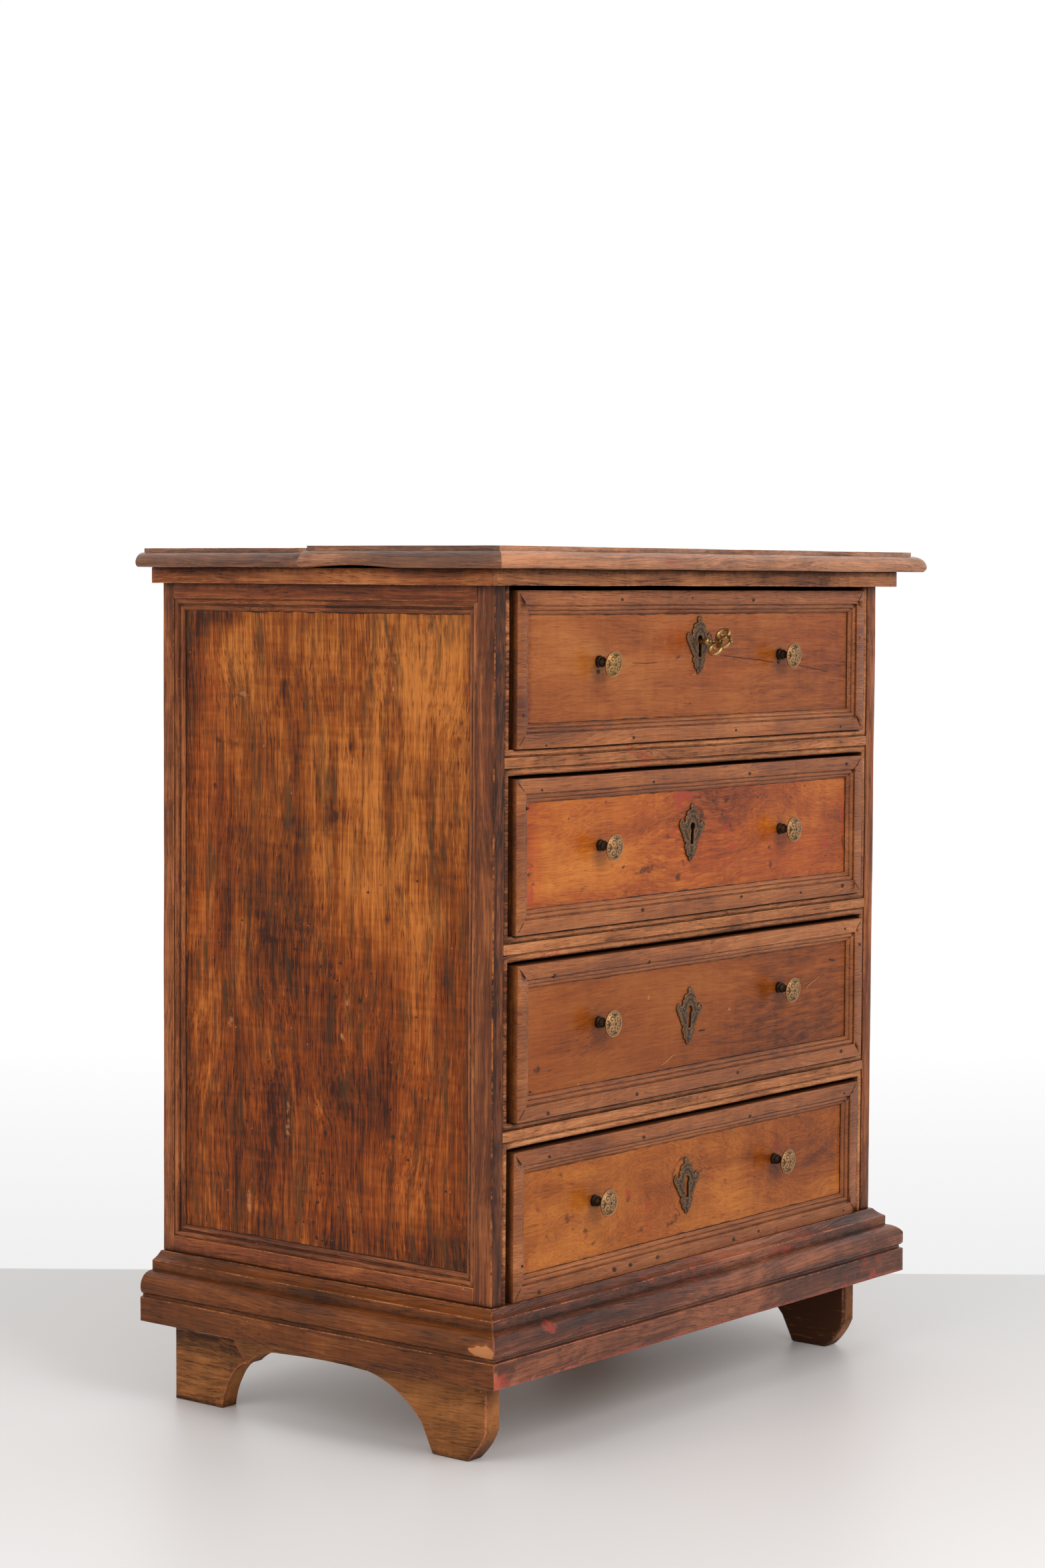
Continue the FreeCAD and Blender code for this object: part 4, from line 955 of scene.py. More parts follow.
    @staticmethod
    def turn(made: BMesh, profile: Outline, steps: int) -> None:
        """Turn a profile on the lathe, round the line that runs from front to back.

        Args:
            made: The mesh that it joins.
            profile: Its points: radius and distance outwards, in millimetres.
            steps: How many facets go round.
        """
        line = [made.verts.new((radius * MM, -out * MM, 0)) for radius, out in profile]
        edges = [made.edges.new(pair) for pair in zip(line, line[1:])]
        bmesh.ops.spin(made, geom=line + edges, axis=(0, 1, 0), cent=(0, 0, 0), steps=steps, angle=math.tau,
                       use_merge=True)
        bmesh.ops.remove_doubles(made, verts=made.verts[:], dist=0.004 * MM)

    @staticmethod
    def set_at(made: BMesh, at: Place, angle: float, axis: str) -> None:
        """Turn a mesh about its own middle, then set it in its place.

        Args:
            made: The mesh.
            at: Its place, in millimetres.
            angle: How far it turns, in degrees.
            axis: The axis that it turns round.
        """
        turned = Matrix.Rotation(math.radians(angle), 3, axis)
        bmesh.ops.rotate(made, verts=made.verts[:], cent=(0, 0, 0), matrix=turned)
        bmesh.ops.translate(made, vec=Vector(at) * MM, verts=made.verts[:])

    @staticmethod
    def put(name: str, data: bpy.types.ID) -> Object:
        """Put an object into the scene.

        Args:
            name: Its name.
            data: Its mesh, light or camera.

        Returns:
            The object.
        """
        thing = bpy.data.objects.new(name, data)
        bpy.context.scene.collection.objects.link(thing)
        return thing

    @staticmethod
    def join(source: BMesh, target: BMesh) -> None:
        """Put one mesh into another.

        Args:
            source: The mesh that goes in, which is freed.
            target: The mesh that it goes into.
        """
        spare = bpy.data.meshes.new("spare")
        source.to_mesh(spare)
        source.free()
        target.from_mesh(spare)
        bpy.data.meshes.remove(spare)


@dataclass
class Carpentry:
    """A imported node's boards, worn.

    ease is the width of its rounded arrises, spacing how far apart the cuts across each
    axis of cuts are and amount how far its faces stray, in millimetres. Its marks lie on
    the two axes of face, and only says which points take them.
    """

    node: str
    wood: Walnut
    slot: str
    body: str = "root"
    ease: float = 0.9
    spacing: float = 14.0
    amount: float = 0.45
    cuts: tuple[int, ...] = (0, 1, 2)
    grain: Grain | None = None
    framed: tuple[int, int] | None = None
    border: float = 1.0
    marks: Marks = ()
    face: tuple[int, int] = (0, 2)
    only: Where | None = None
    bend: Callable[[Vector], Vector] | None = None

    def build(self) -> Object:
        """Build the worn boards.

        Returns:
            The piece.
        """
        made = Bench.copy_node(self.node)
        Bench.ease(made, self.ease * MM)
        for axis in self.cuts:
            Bench.slice(made, axis, self.spacing * MM)
        Bench.grain(made, Bench.seed(self.node), self.grain, self.framed, self.border)
        if self.bend:
            for vertex in made.verts:
                vertex.co = self.bend(vertex.co)
        Bench.wander(made, self.amount * MM)
        thing = Bench.worn(self.node, made, self.wood, self.body, self.slot)
        if self.marks:
            Bench.paint(thing.data, self.marks, *self.face, self.only)
        return thing


@dataclass
class MarkedBoard:
    """A wide board whose face is fine enough to carry every mark.

    The face is square to the axis out, on the board's low side. Its mesh has a line every
    spacing, and circle, slit and drop are the keyhole's radius, half width and depth, all in
    millimetres.
    """

    node: str
    wood: Walnut
    slot: str
    body: str
    out: int
    grain: Grain
    marks: Marks = ()
    spacing: float = 1.8
    amount: float = 0.3
    keyhole: Point | None = None
    circle: float = 4.9
    slit: float = 3.0
    drop: float = 19.0

    def build(self) -> Object:
        """Build the board.

        Returns:
            The piece.
        """
        low, high = map(Vector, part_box(self.node))
        span = high - low
        across = 1 - self.out
        made = self.grid(low, span, across)
        if self.keyhole:
            hole = [face for face in made.faces if self.in_keyhole(face.calc_center_median() / MM)]
            bmesh.ops.delete(made, geom=hole, context="FACES")
        self.close(made, along(self.out, span[self.out]))
        Bench.grain(made, Bench.seed(self.node), self.grain)
        Bench.wander(made, self.amount * MM)
        thing = Bench.worn(self.node, made, self.wood, self.body, self.slot)
        Bench.paint(thing.data, self.marks, across, 2)
        return thing

    def grid(self, low: Vector, span: Vector, across: int) -> BMesh:
        """Lay the face's fine grid.

        Args:
            low: The board's lowest corner.
            span: Its size.
            across: The axis that runs across its face.

        Returns:
            The grid.
        """
        made = bmesh.new()
        columns, rows = (round(span[axis] / (self.spacing * MM)) for axis in (across, 2))
        bmesh.ops.create_grid(made, x_segments=columns, y_segments=rows, size=0.5)
        wide = max(vertex.co.x for vertex in made.verts) * 2
        for vertex in made.verts:
            share = vertex.co / wide
            place = low.copy()
            place[across] = low[across] + span[across] * (share.x + 0.5)
            place[2] = low[2] + span[2] * (share.y + 0.5)
            vertex.co = place
        return made

    @staticmethod
    def close(made: BMesh, push: Vector) -> None:
        """Give the grid its sides and its back.

        Args:
            made: The grid.
            push: How far the back is, and which way.
        """
        rim = [edge for edge in made.edges if edge.is_boundary]
        sides = bmesh.ops.extrude_edge_only(made, edges=rim)["geom"]
        bmesh.ops.translate(made, vec=push, verts=[item for item in sides if isinstance(item, BMVert)])
        rear = [item for item in sides if isinstance(item, BMEdge) and item.is_boundary]
        bmesh.ops.triangle_fill(made, edges=rear, use_beauty=False)
        bmesh.ops.recalc_face_normals(made, faces=made.faces[:])

    def in_keyhole(self, place: Vector) -> bool:
        """Say whether a place, in millimetres, is in the keyhole."""
        x, z = place.x - self.keyhole[0], place.z - self.keyhole[1]
        return math.hypot(x, z) < self.circle or (abs(x) < self.slit and -self.drop < z < 0.0)


@dataclass
class Plugs:
    """Nail holes and worm holes filled with dark wood, in millimetres.

    Each spot is a place across and up and a radius. front is where the face that they fill
    is, and axis is what that face is square to.
    """

    name: str
    spots: Sequence[Place]
    front: float
    body: str
    slot: str
    axis: int = 1
    sides: int = 9
    depth: float = 1.1
    proud: float = 0.35
    wobble: float = 0.28
    squash: Point = (1.15, 0.85)

    def build(self) -> Object:
        """Build the plugs.

        Returns:
            The piece.
        """
        made = bmesh.new()
        for index, (across, up, radius) in enumerate(self.spots):
            ring = bmesh.ops.create_circle(made, cap_ends=True, radius=radius * MM, segments=self.sides)
            for turn, vertex in enumerate(ring["verts"]):
                wobble = 1.0 + self.wobble * noise.noise(Vector((index * 3.7, turn * 1.3, across * 0.1)))
                place = along(self.axis, (self.front - self.proud) * MM)
                place[1 - self.axis] = across * MM + vertex.co.x * wobble * self.squash[0]
                place[2] = up * MM + vertex.co.y * wobble * self.squash[1]
                vertex.co = place
            faces = list({face for vertex in ring["verts"] for face in vertex.link_faces})
            Bench.thicken(made, faces, along(self.axis, self.depth * MM))
        bmesh.ops.recalc_face_normals(made, faces=made.faces[:])
        Bench.grain(made, len(self.spots) * 0.3, Grain.ACROSS)
        return Bench.piece(self.name, made, Bench.woods(PLUG_WOOD), self.body, self.slot)


@dataclass(frozen=True)
class Sliver:
    """A crack, a scratch or a joint that shows as a thin line, in millimetres on a face."""

    points: Outline
    width: float = 0.7
    pale: bool = False

    def spans(self) -> list[float]:
        """List its legs' lengths."""
        return [math.dist(one, two) for one, two in zip(self.points, self.points[1:])]

    def at(self, gone: float, aside: float) -> Point:
        """Find the place so far along the line and so far beside it.

        Args:
            gone: How far along.
            aside: How far beside it.

        Returns:
            The place.
        """
        spans = self.spans()
        leg = 0
        while leg < len(spans) - 1 and gone > spans[leg]:
            gone -= spans[leg]
            leg += 1
        (x0, z0), (x1, z1) = self.points[leg], self.points[leg + 1]
        dx, dz = (x1 - x0) / spans[leg], (z1 - z0) / spans[leg]
        return x0 + dx * gone - dz * aside, z0 + dz * gone + dx * aside


@dataclass
class Slivers:
    """Thin tapering lines laid into a face, in millimetres.

    front is where the face is, and axis is what it is square to.
    """

    name: str
    lines: Sequence[Sliver]
    front: float
    body: str
    slot: str
    axis: int = 1
    step: float = 2.5
    fewest: int = 6
    depth: float = 1.2
    proud: float = 0.5
    stray: float = 0.8
    blunt: float = 0.4

    def build(self) -> Object:
        """Build the lines.

        Returns:
            The piece.
        """
        made = bmesh.new()
        for number, line in enumerate(self.lines):
            Bench.join(self.strip(number, line), made)
        made.verts.layers.float.new("board")
        woods = [wood.material(Grain.ACROSS) for wood in (PLUG_WOOD, SCRATCH_WOOD)]
        return Bench.piece(self.name, made, woods, self.body, self.slot)

    def strip(self, number: int, line: Sliver) -> BMesh:
        """Lay one line.

        Args:
            number: Its number.
            line: The line.

        Returns:
            Its strip.
        """
        length = sum(line.spans())
        steps = max(self.fewest, round(length / self.step))
        strip = bmesh.new()
        bmesh.ops.create_grid(strip, x_segments=steps, y_segments=1, size=0.5)
        wide = max(vertex.co.x for vertex in strip.verts) * 2
        for vertex in strip.verts:
            share = min(1.0, max(0.0, vertex.co.x / wide + 0.5))
            stray = noise.noise(Vector((number * 7.1, share * length * 0.09, 0.5))) * line.width * self.stray
            taper = math.sin(math.pi * min(0.98, max(0.02, share))) ** self.blunt
            aside = math.copysign(line.width / 2 * taper, vertex.co.y) + stray * taper
            across, up = line.at(share * length, aside)
            place = along(self.axis, (self.front - self.proud) * MM)
            place[1 - self.axis] = across * MM
            place[2] = up * MM
            vertex.co = place
        Bench.thicken(strip, strip.faces[:], along(self.axis, self.depth * MM))
        bmesh.ops.recalc_face_normals(strip, faces=strip.faces[:])
        for face in strip.faces:
            face.material_index = 1 if line.pale else 0
        return strip


def opening(node: str, axis: int, plane: float, width: float) -> list[Sliver]:
    """Line the opening that a frame leaves over a panel.

    Args:
        node: The frame's node.
        axis: The axis that the panel is square to.
        plane: Where the panel's face is, in metres.
        width: How wide the lines are, in millimetres.

    Returns:
        The opening's four sides.
    """
    across = 1 - axis
    low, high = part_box(node)
    middle, level = (low[across] + high[across]) / 2, (low[2] + high[2]) / 2
    near = [vertex.co for vertex in bpy.data.objects[node].data.vertices
            if abs(vertex.co[axis] - plane) < 4.0 * MM]
    left = max(co[across] for co in near if co[across] < middle) / MM
    right = min(co[across] for co in near if co[across] > middle) / MM
    bottom = max(co[2] for co in near if co[2] < level) / MM
    top = min(co[2] for co in near if co[2] > level) / MM
    corners = (left, bottom), (left, top), (right, top), (right, bottom)
    return [Sliver((corners[one], corners[two]), width) for one, two in ((0, 1), (2, 3), (1, 2), (3, 0))]


def clamp(value: float) -> float:
    """Keep a value between 0 and 1."""
    return max(0.0, min(1.0, value))


def crest(angle: float, power: float = 1.0) -> float:
    """Make a wave between 0 and 1, whose crests are sharper with a greater power."""
    return (0.5 + 0.5 * math.cos(angle)) ** power


def ridge(value: float, middle: float, width: float) -> float:
    """Make a soft ridge, 1 in its middle."""
    return math.exp(-((value - middle) / width) ** 2)


def segment_gap(place: Point, start: Point, stop: Point) -> float:
    """Measure how far a place is from a straight line between two points.

    Args:
        place: The place.
        start: The line's first point.
        stop: Its second point.

    Returns:
        The distance.
    """
    dx, dz = stop[0] - start[0], stop[1] - start[1]
    x, z = place[0] - start[0], place[1] - start[1]
    share = clamp((x * dx + z * dz) / (dx ** 2 + dz ** 2))
    return math.hypot(x - share * dx, z - share * dz)


@dataclass
class Knob:
    """A turned brass knob with a chased, domed disc.

    Lengths are in millimetres, outwards from the board, and droop is in degrees. face is
    where the disc starts to dome, bulge how much of the dome is round rather than flat,
    front what counts as the disc's face and foot where the dark bronze ends. chased, middle,
    ring, scroll, scroll_size and leaves are shares of the disc's radius.
    """

    at: Place
    droop: float = 0.0
    boss: Outline = (
        (0.0, -2.0), (5.4, -2.0), (5.4, 0.0), (6.2, 0.5), (6.4, 1.6), (5.9, 2.8), (5.0, 3.2), (4.7, 3.7),
        (5.5, 4.5), (5.7, 5.7), (5.1, 7.0), (4.2, 8.4), (3.75, 9.4), (3.6, 12.0), (3.7, 16.6), (4.6, 18.4),
        (7.0, 19.2), (10.5, 19.35), (13.6, 19.3))
    rim: Outline = ((14.3, 19.5), (14.5, 20.1), (14.35, 20.8), (13.9, 21.1), (13.4, 20.95), (13.0, 20.75))
    disc: float = 13.0
    face: float = 20.75
    dome: float = 2.7
    bulge: float = 0.35
    front: float = 20.6
    foot: float = 18.0
    rings: int = 34
    steps: int = 96
    depth: float = 0.5
    level: float = 0.35
    chased: float = 0.985
    middle: float = 0.12
    ring: float = 0.19
    scroll: float = 0.55
    scroll_size: float = 0.42
    leaves: float = 0.78

    def relief(self, x: float, z: float) -> float:
        """Say how high the chasing is at a place on the disc.

        Args:
            x: The place across, as a share of the disc's radius.
            z: The place up.

        Returns:
            The height's share, 0 to 1.
        """
        away = math.hypot(x, z)
        if away < self.middle:
            return 0.15
        turn = math.atan2(z, x)
        scroll = max(self.scroll_height(quarter, x, z) for quarter in range(4))
        leaf = (1.0 - crest(turn * 20, 3)) * clamp((away - self.leaves) / 0.08)
        stem = crest(turn * 4, 3) * max(0.0, 1.0 - abs(away - 0.45) / 0.32)
        return max(ridge(away, self.ring, 0.05), scroll, leaf * 0.7, stem * 0.8)

    def scroll_height(self, quarter: int, x: float, z: float) -> float:
        """Say how high one of the disc's four scrolls is at a place.

        Args:
            quarter: Which scroll.
            x: The place across, as a share of the disc's radius.
            z: The place up.

        Returns:
            The height's share.
        """
        angle = math.radians(45 + 90 * quarter)
        dx, dz = x - self.scroll * math.cos(angle), z - self.scroll * math.sin(angle)
        gap = math.hypot(dx, dz)
        curl = math.atan2(dz, dx) * (1 if quarter % 2 else -1)
        return (1.0 - crest(curl + gap * 21.0, 3)) * clamp((self.scroll_size - gap) / 0.08)

    def crown(self) -> Outline:
        """List the dome's profile, from its edge to its middle.

        Returns:
            Its points: radius and distance outwards.
        """
        points = []
        for step in range(1, self.rings + 1):
            share = 1 - step / self.rings
            rise = self.bulge * math.sqrt(1 - share ** 2) + (1 - self.bulge) * (1 - share ** 2)
            points.append((self.disc * share, self.face + self.dome * rise))
        return tuple(points)

    def build(self) -> BMesh:
        """Turn the knob, chase its disc and set it in its place.

        Returns:
            The knob's mesh.
        """
        knob = bmesh.new()
        layer = knob.verts.layers.float.new("relief")
        Bench.turn(knob, (*self.boss, *self.rim, *self.crown()), self.steps)
        bmesh.ops.recalc_face_normals(knob, faces=knob.faces[:])
        for vertex in knob.verts:
            x, z = vertex.co.x / (self.disc * MM), vertex.co.z / (self.disc * MM)
            on_face = -vertex.co.y > self.front * MM
            if on_face and math.hypot(x, z) < self.chased:
                height = self.relief(x, z)
                vertex[layer] = height
                vertex.co.y -= (height - self.level) * self.depth * MM
            else:
                vertex[layer] = 0.85 if on_face else 0.25
        for face in knob.faces:
            face.material_index = 1 if -face.calc_center_median().y < self.foot * MM else 0
        Bench.set_at(knob, self.at, self.droop, "X")
        return knob


PLATE_OUTLINE: Outline = (
    (0.0, -38.5), (2.6, -37.4), (3.6, -35.2), (3.4, -33.6), (6.0, -33.2), (8.2, -31.2), (8.6, -28.8),
    (7.8, -27.2), (10.4, -26.0), (11.8, -23.4), (11.2, -20.8), (9.4, -19.2), (11.4, -17.6), (13.4, -16.6),
    (14.4, -13.2), (16.6, -11.6), (17.6, -8.4), (19.6, -6.6), (21.4, -4.2), (23.0, -1.6), (23.8, 1.6),
    (23.2, 4.6), (21.4, 6.8), (18.6, 7.3), (16.4, 5.8), (15.0, 3.8), (13.4, 4.4), (12.9, 6.6), (13.6, 8.4),
    (12.8, 10.6), (10.6, 12.0), (10.8, 14.6), (9.4, 16.8), (6.6, 17.8), (4.4, 18.2), (3.2, 19.2), (4.2, 21.2),
    (3.8, 23.6), (2.2, 25.0), (0.0, 25.3))


@dataclass
class KeyPlate:
    """A cast brass key plate with leafy relief, and its three domed pins.

    Lengths are in millimetres, and lean is in degrees. Each pin is a place across and up
    and a radius, and each curl a place beside the middle and up, a size and the way it winds.
    """

    at: Place
    lean: float
    thickness: float = 2.8
    circle: float = 4.4
    slot: float = 2.6
    drop: float = 19.5
    arc: int = 22
    grid: float = 0.85
    pins: tuple[Place, ...] = ((-11.4, 0.9, 1.9), (15.2, 0.9, 1.9), (0.2, -30.8, 1.8))
    pin_dome: float = 0.62
    curls: tuple[tuple[float, float, float, int], ...] = (
        (17.0, 0.6, 5.6, 1), (7.6, 11.6, 4.6, -1), (5.6, -25.0, 4.2, 1), (1.5, 20.0, 4.0, 1))

    def keyhole(self) -> Outline:
        """List the keyhole's outline.

        Returns:
            Its points, going round.
        """
        start = math.asin(min(1.0, self.slot / self.circle))
        turns = [start + (math.tau - 2 * start) * step / self.arc for step in range(self.arc + 1)]
        arc = [(self.circle * math.sin(turn), -self.circle * math.cos(turn)) for turn in turns]
        return (*arc, (-self.slot, -self.drop), (self.slot, -self.drop))

    def hole_gap(self, x: float, z: float) -> float:
        """Measure how far a place is from the keyhole's edge."""
        tall = max(-self.drop - z, z, 0.0)
        beside = math.hypot(max(abs(x) - self.slot, 0.0), tall)
        return min(beside, abs(math.hypot(x, z) - self.circle))

    @staticmethod
    def edge_gap(x: float, z: float) -> float:
        """Measure how far a place is from the plate's outline."""
        sides = zip(PLATE_OUTLINE, PLATE_OUTLINE[1:])
        return min(segment_gap((abs(x), z), start, stop) for start, stop in sides)

    def relief(self, x: float, z: float, edge: float) -> float:
        """Say how high the casting is at a place.

        Args:
            x: The place across, from the keyhole's centre.
            z: The place up.
            edge: How far the place is from the plate's outline.

        Returns:
            The height's share, 0 to 1.
        """
        collar = ridge(self.hole_gap(x, z), 1.4, 0.8)
        rim = ridge(edge, 0.8, 0.7)
        veins = crest(1.25 * edge + 0.9 * math.sin(0.35 * z) + abs(x) * 0.25)
        height = max(collar, rim * 0.8, veins * 0.6)
        for beside, up, size, way in self.curls:
            dx, dz = abs(x) - beside, z - up
            gap = math.hypot(dx, dz)
            height = max(height, crest(math.atan2(dz, dx) * way + gap * 1.9) * clamp((size - gap) / 1.2))
        return clamp(height + noise.noise(Vector((x * 0.6, z * 0.6, 3.0))) * 0.25)

    def build(self, name: str, body: str, node: str) -> Object:
        """Cast the plate, cut its keyhole and drive its pins.

        Args:
            name: The piece's name.
            body: The body that it moves with.
            node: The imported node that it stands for.

        Returns:
            The piece.
        """
        cast = self.cast()
        for axis in (0, 2):
            Bench.slice(cast, axis, self.grid * MM)
        self.chase(cast)
        for pin in self.pins:
            Bench.join(self.pin(*pin), cast)
        Bench.set_at(cast, self.at, self.lean, "Y")
        return Bench.piece(name, cast, [PLATE_BRASS.material(), IRON.material()], body, "brass", [node], 50.0)

    def cast(self) -> BMesh:
        """Cast the flat plate with its keyhole.

        Returns:
            The plate's mesh.
        """
        outline = (*PLATE_OUTLINE, *((-x, z) for x, z in reversed(PLATE_OUTLINE[1:-1])))
        plate = self.solid("plate", outline, 0.0, -self.thickness)
        hole = self.solid("keyhole", self.keyhole(), 4.0, -12.0)
        cut = plate.modifiers.new("keyhole", "BOOLEAN")
        cut.object = hole
        cut.operation = "DIFFERENCE"
        cut.solver = "EXACT"
        done = plate.evaluated_get(bpy.context.evaluated_depsgraph_get())
        cast = bmesh.new()
        cast.from_mesh(bpy.data.meshes.new_from_object(done))
        for spare in (plate, hole):
            bpy.data.objects.remove(spare)
        return cast

    @staticmethod
    def solid(name: str, outline: Outline, start: float, depth: float) -> Object:
        """Make an upright outline into a solid.

        Args:
            name: The object's name.
            outline: The outline, across and up.
            start: Where its flat face is, from front to back.
            depth: How far it goes from there.

        Returns:
            The solid, as an object.
        """
        made = bmesh.new()
        made.faces.new([made.verts.new((x * MM, start * MM, z * MM)) for x, z in outline])
        Bench.thicken(made, made.faces[:], along(1, depth * MM))
        bmesh.ops.recalc_face_normals(made, faces=made.faces[:])
        mesh = bpy.data.meshes.new(name)
        made.to_mesh(mesh)
        made.free()
        return Bench.put(name, mesh)

    def chase(self, cast: BMesh) -> None:
        """Give the plate's face its relief.

        Args:
            cast: The plate.
        """
        layer = cast.verts.layers.float.new("relief")
        for vertex in cast.verts:
            vertex[layer] = 0.1
            if vertex.co.y < -(self.thickness - 0.1) * MM:
                x, z = vertex.co.x / MM, vertex.co.z / MM
                edge = self.edge_gap(x, z)
                height = self.relief(x, z, edge)
                vertex[layer] = height
                vertex.co.y += (0.95 - 0.9 * height + 0.85 * ridge(edge, 0.0, 0.9)) * MM

    def pin(self, across: float, up: float, radius: float) -> BMesh:
        """Make a domed pin.

        Args:
            across: Its place across.
            up: Its place up.
            radius: Its radius.

        Returns:
            The pin's mesh.
        """
        pin = bmesh.new()
        bmesh.ops.create_uvsphere(pin, u_segments=18, v_segments=10, radius=radius * MM)
        bmesh.ops.scale(pin, vec=(1.0, self.pin_dome, 1.0), verts=pin.verts[:])
        shine = pin.verts.layers.float.new("relief")
        for vertex in pin.verts:
            vertex[shine] = 0.6
        for face in pin.faces:
            face.material_index = 1
        Bench.set_at(pin, (across, -(self.thickness - 0.35), up), 0.0, "Y")
        return pin


@dataclass
class Key:
    """The brass key in the top lock: a shank and bit, a turned collar and a scrolled bow.

    Lengths are in millimetres. The collar's points are radius and distance outwards, the
    bow's are distances across and outwards. Each ring has a place and its two half sizes,
    each bead a place and a radius.
    """

    at: Place
    turned: float = 42.0
    shank: float = 2.5
    shank_out: float = 8.0
    bit: Place = (2.4, 8.0, 14.8)
    bit_back: float = 5.6
    collar: Outline = (
        (0.0, 7.4), (3.0, 7.4), (3.9, 8.0), (4.4, 9.4), (4.6, 11.2), (4.2, 13.0), (3.4, 14.2), (2.3, 14.7),
        (2.2, 15.1), (2.8, 15.6), (3.2, 16.4), (2.8, 17.3), (2.0, 17.9), (1.7, 19.5), (0.0, 19.5))
    steps: int = 28
    rings: tuple[tuple[float, float, float, float], ...] = (
        (10.4, 27.4, 7.7, 7.3), (-10.4, 27.4, 7.7, 7.3), (0.0, 35.0, 8.0, 7.0))
    ring_wire: float = 2.0
    curl_at: Point = (10.4, 27.8)
    curl_size: float = 4.2
    curl_wire: float = 1.15
    sprig: Outline = ((1.2, 19.0), (1.7, 22.0), (3.6, 25.4), (1.6, 29.0), (0.6, 33.0))
    sprig_wire: float = 1.4
    beads: tuple[Place, ...] = (
        (0.0, 43.6, 2.3), (0.0, 41.4, 1.5), (0.0, 19.6, 2.2), (6.0, 32.6, 1.7), (-6.0, 32.6, 1.7))

    def build(self) -> Object:
        """Build the key.

        Returns:
            The piece.
        """
        made = bmesh.new()
        Bench.turn(made, self.collar, self.steps)
        self.shank_and_bit(made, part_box("lock_1_key")[1][1] - self.at[1] * MM)
        self.bow(made)
        bmesh.ops.recalc_face_normals(made, faces=made.faces[:])
        layer = made.verts.layers.float.new("relief")
        for vertex in made.verts:
            away = math.hypot(vertex.co.x, vertex.co.z) / MM
            vertex[layer] = 0.35 + 0.03 * away if -vertex.co.y > 7.0 * MM else 0.1
        Bench.set_at(made, self.at, self.turned, "Y")
        for vertex in made.verts:
            vertex.co.y = max(vertex.co.y, Bench.low.y + 0.2 * MM)
        return Bench.piece("scrolled_key", made, [KEY_BRASS.material()], "key", "brass", ["lock_1_key"], 60.0)

    def shank_and_bit(self, made: BMesh, reach: float) -> None:
        """Add the shank and its bit.

        Args:
            made: The mesh that they join.
            reach: How far the shank goes in, in metres.
        """
        radius, out = self.shank * MM, self.shank_out * MM
        lying = Matrix.Translation((0, (reach - out) / 2, 0)) @ Matrix.Rotation(math.pi / 2, 4, "X")
        bmesh.ops.create_cone(made, cap_ends=True, segments=20, radius1=radius, radius2=radius,
                              depth=reach + out, matrix=lying)
        width, depth, height = (size * MM for size in self.bit)
        hung = Matrix.Translation((0, reach - self.bit_back * MM, -height / 2))
        bmesh.ops.create_cube(made, size=1.0, matrix=hung @ Matrix.Diagonal((width, depth, height, 1)))

    def bow(self, made: BMesh) -> None:
        """Add the bow's rings, curls, sprigs and beads.

        Args:
            made: The mesh that they join.
        """
        turns = [math.tau * step / self.steps for step in range(self.steps)]
        for across, out, wide, long in self.rings:
            loop = [(across + wide * math.cos(turn), out + long * math.sin(turn)) for turn in turns]
            self.bend(made, loop, self.ring_wire, True)
        x, y = self.curl_at
        curl = [(0.8 + step * 0.3, self.curl_size * (1 - step / 30)) for step in range(22)]
        for side in (1, -1):
            line = [(side * (x + reach * math.cos(turn)), y + reach * math.sin(turn)) for turn, reach in curl]
            self.bend(made, line, self.curl_wire, False)
            self.bend(made, [(side * across, out) for across, out in self.sprig], self.sprig_wire, False)
        for across, out, radius in self.beads:
            bmesh.ops.create_uvsphere(made, u_segments=14, v_segments=9, radius=radius * MM,
                                      matrix=Matrix.Translation((0, -out * MM, across * MM)))

    @staticmethod
    def bend(made: BMesh, points: Sequence[Point], radius: float, closed: bool) -> None:
        """Bend a round wire along a line in the bow's plane.

        Args:
            made: The mesh that the wire joins.
            points: The line's points.
            radius: The wire's radius.
            closed: Whether the line closes on itself.
        """
        curve = bpy.data.curves.new("wire", "CURVE")
        curve.dimensions = "3D"
        curve.bevel_depth = radius * MM
        curve.bevel_resolution = 3
        curve.use_fill_caps = True
        spline = curve.splines.new("NURBS")
        spline.points.add(len(points) - 1)
        for point, (across, out) in zip(spline.points, points):
            point.co = (0, -out * MM, across * MM, 1)
        spline.use_cyclic_u = closed
        spline.order_u = 4
        spline.use_endpoint_u = not closed
        holder = bpy.data.objects.new("wire", curve)
        mesh = bpy.data.meshes.new_from_object(holder)
        made.from_mesh(mesh)
        bpy.data.objects.remove(holder)
        bpy.data.meshes.remove(mesh)


def dress(node: str, finish: Material) -> None:
    """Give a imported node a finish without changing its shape.

    Args:
        node: The node's name.
        finish: Its material.
    """
    for slot in bpy.data.objects[node].material_slots:
        slot.link = "OBJECT"
        slot.material = finish


def on_front(places: np.ndarray) -> np.ndarray:
    """Say which points of a corner post are on its front face."""
    return (places[:, 1] < places[:, 1].min() + 1.5).astype(float)


def facing_left(places: np.ndarray) -> np.ndarray:
    """Say which points of a foot are on its left face, where the feet's painted shade goes."""
    return (places[:, 0] < places[:, 0].min() + 2.5).astype(float)


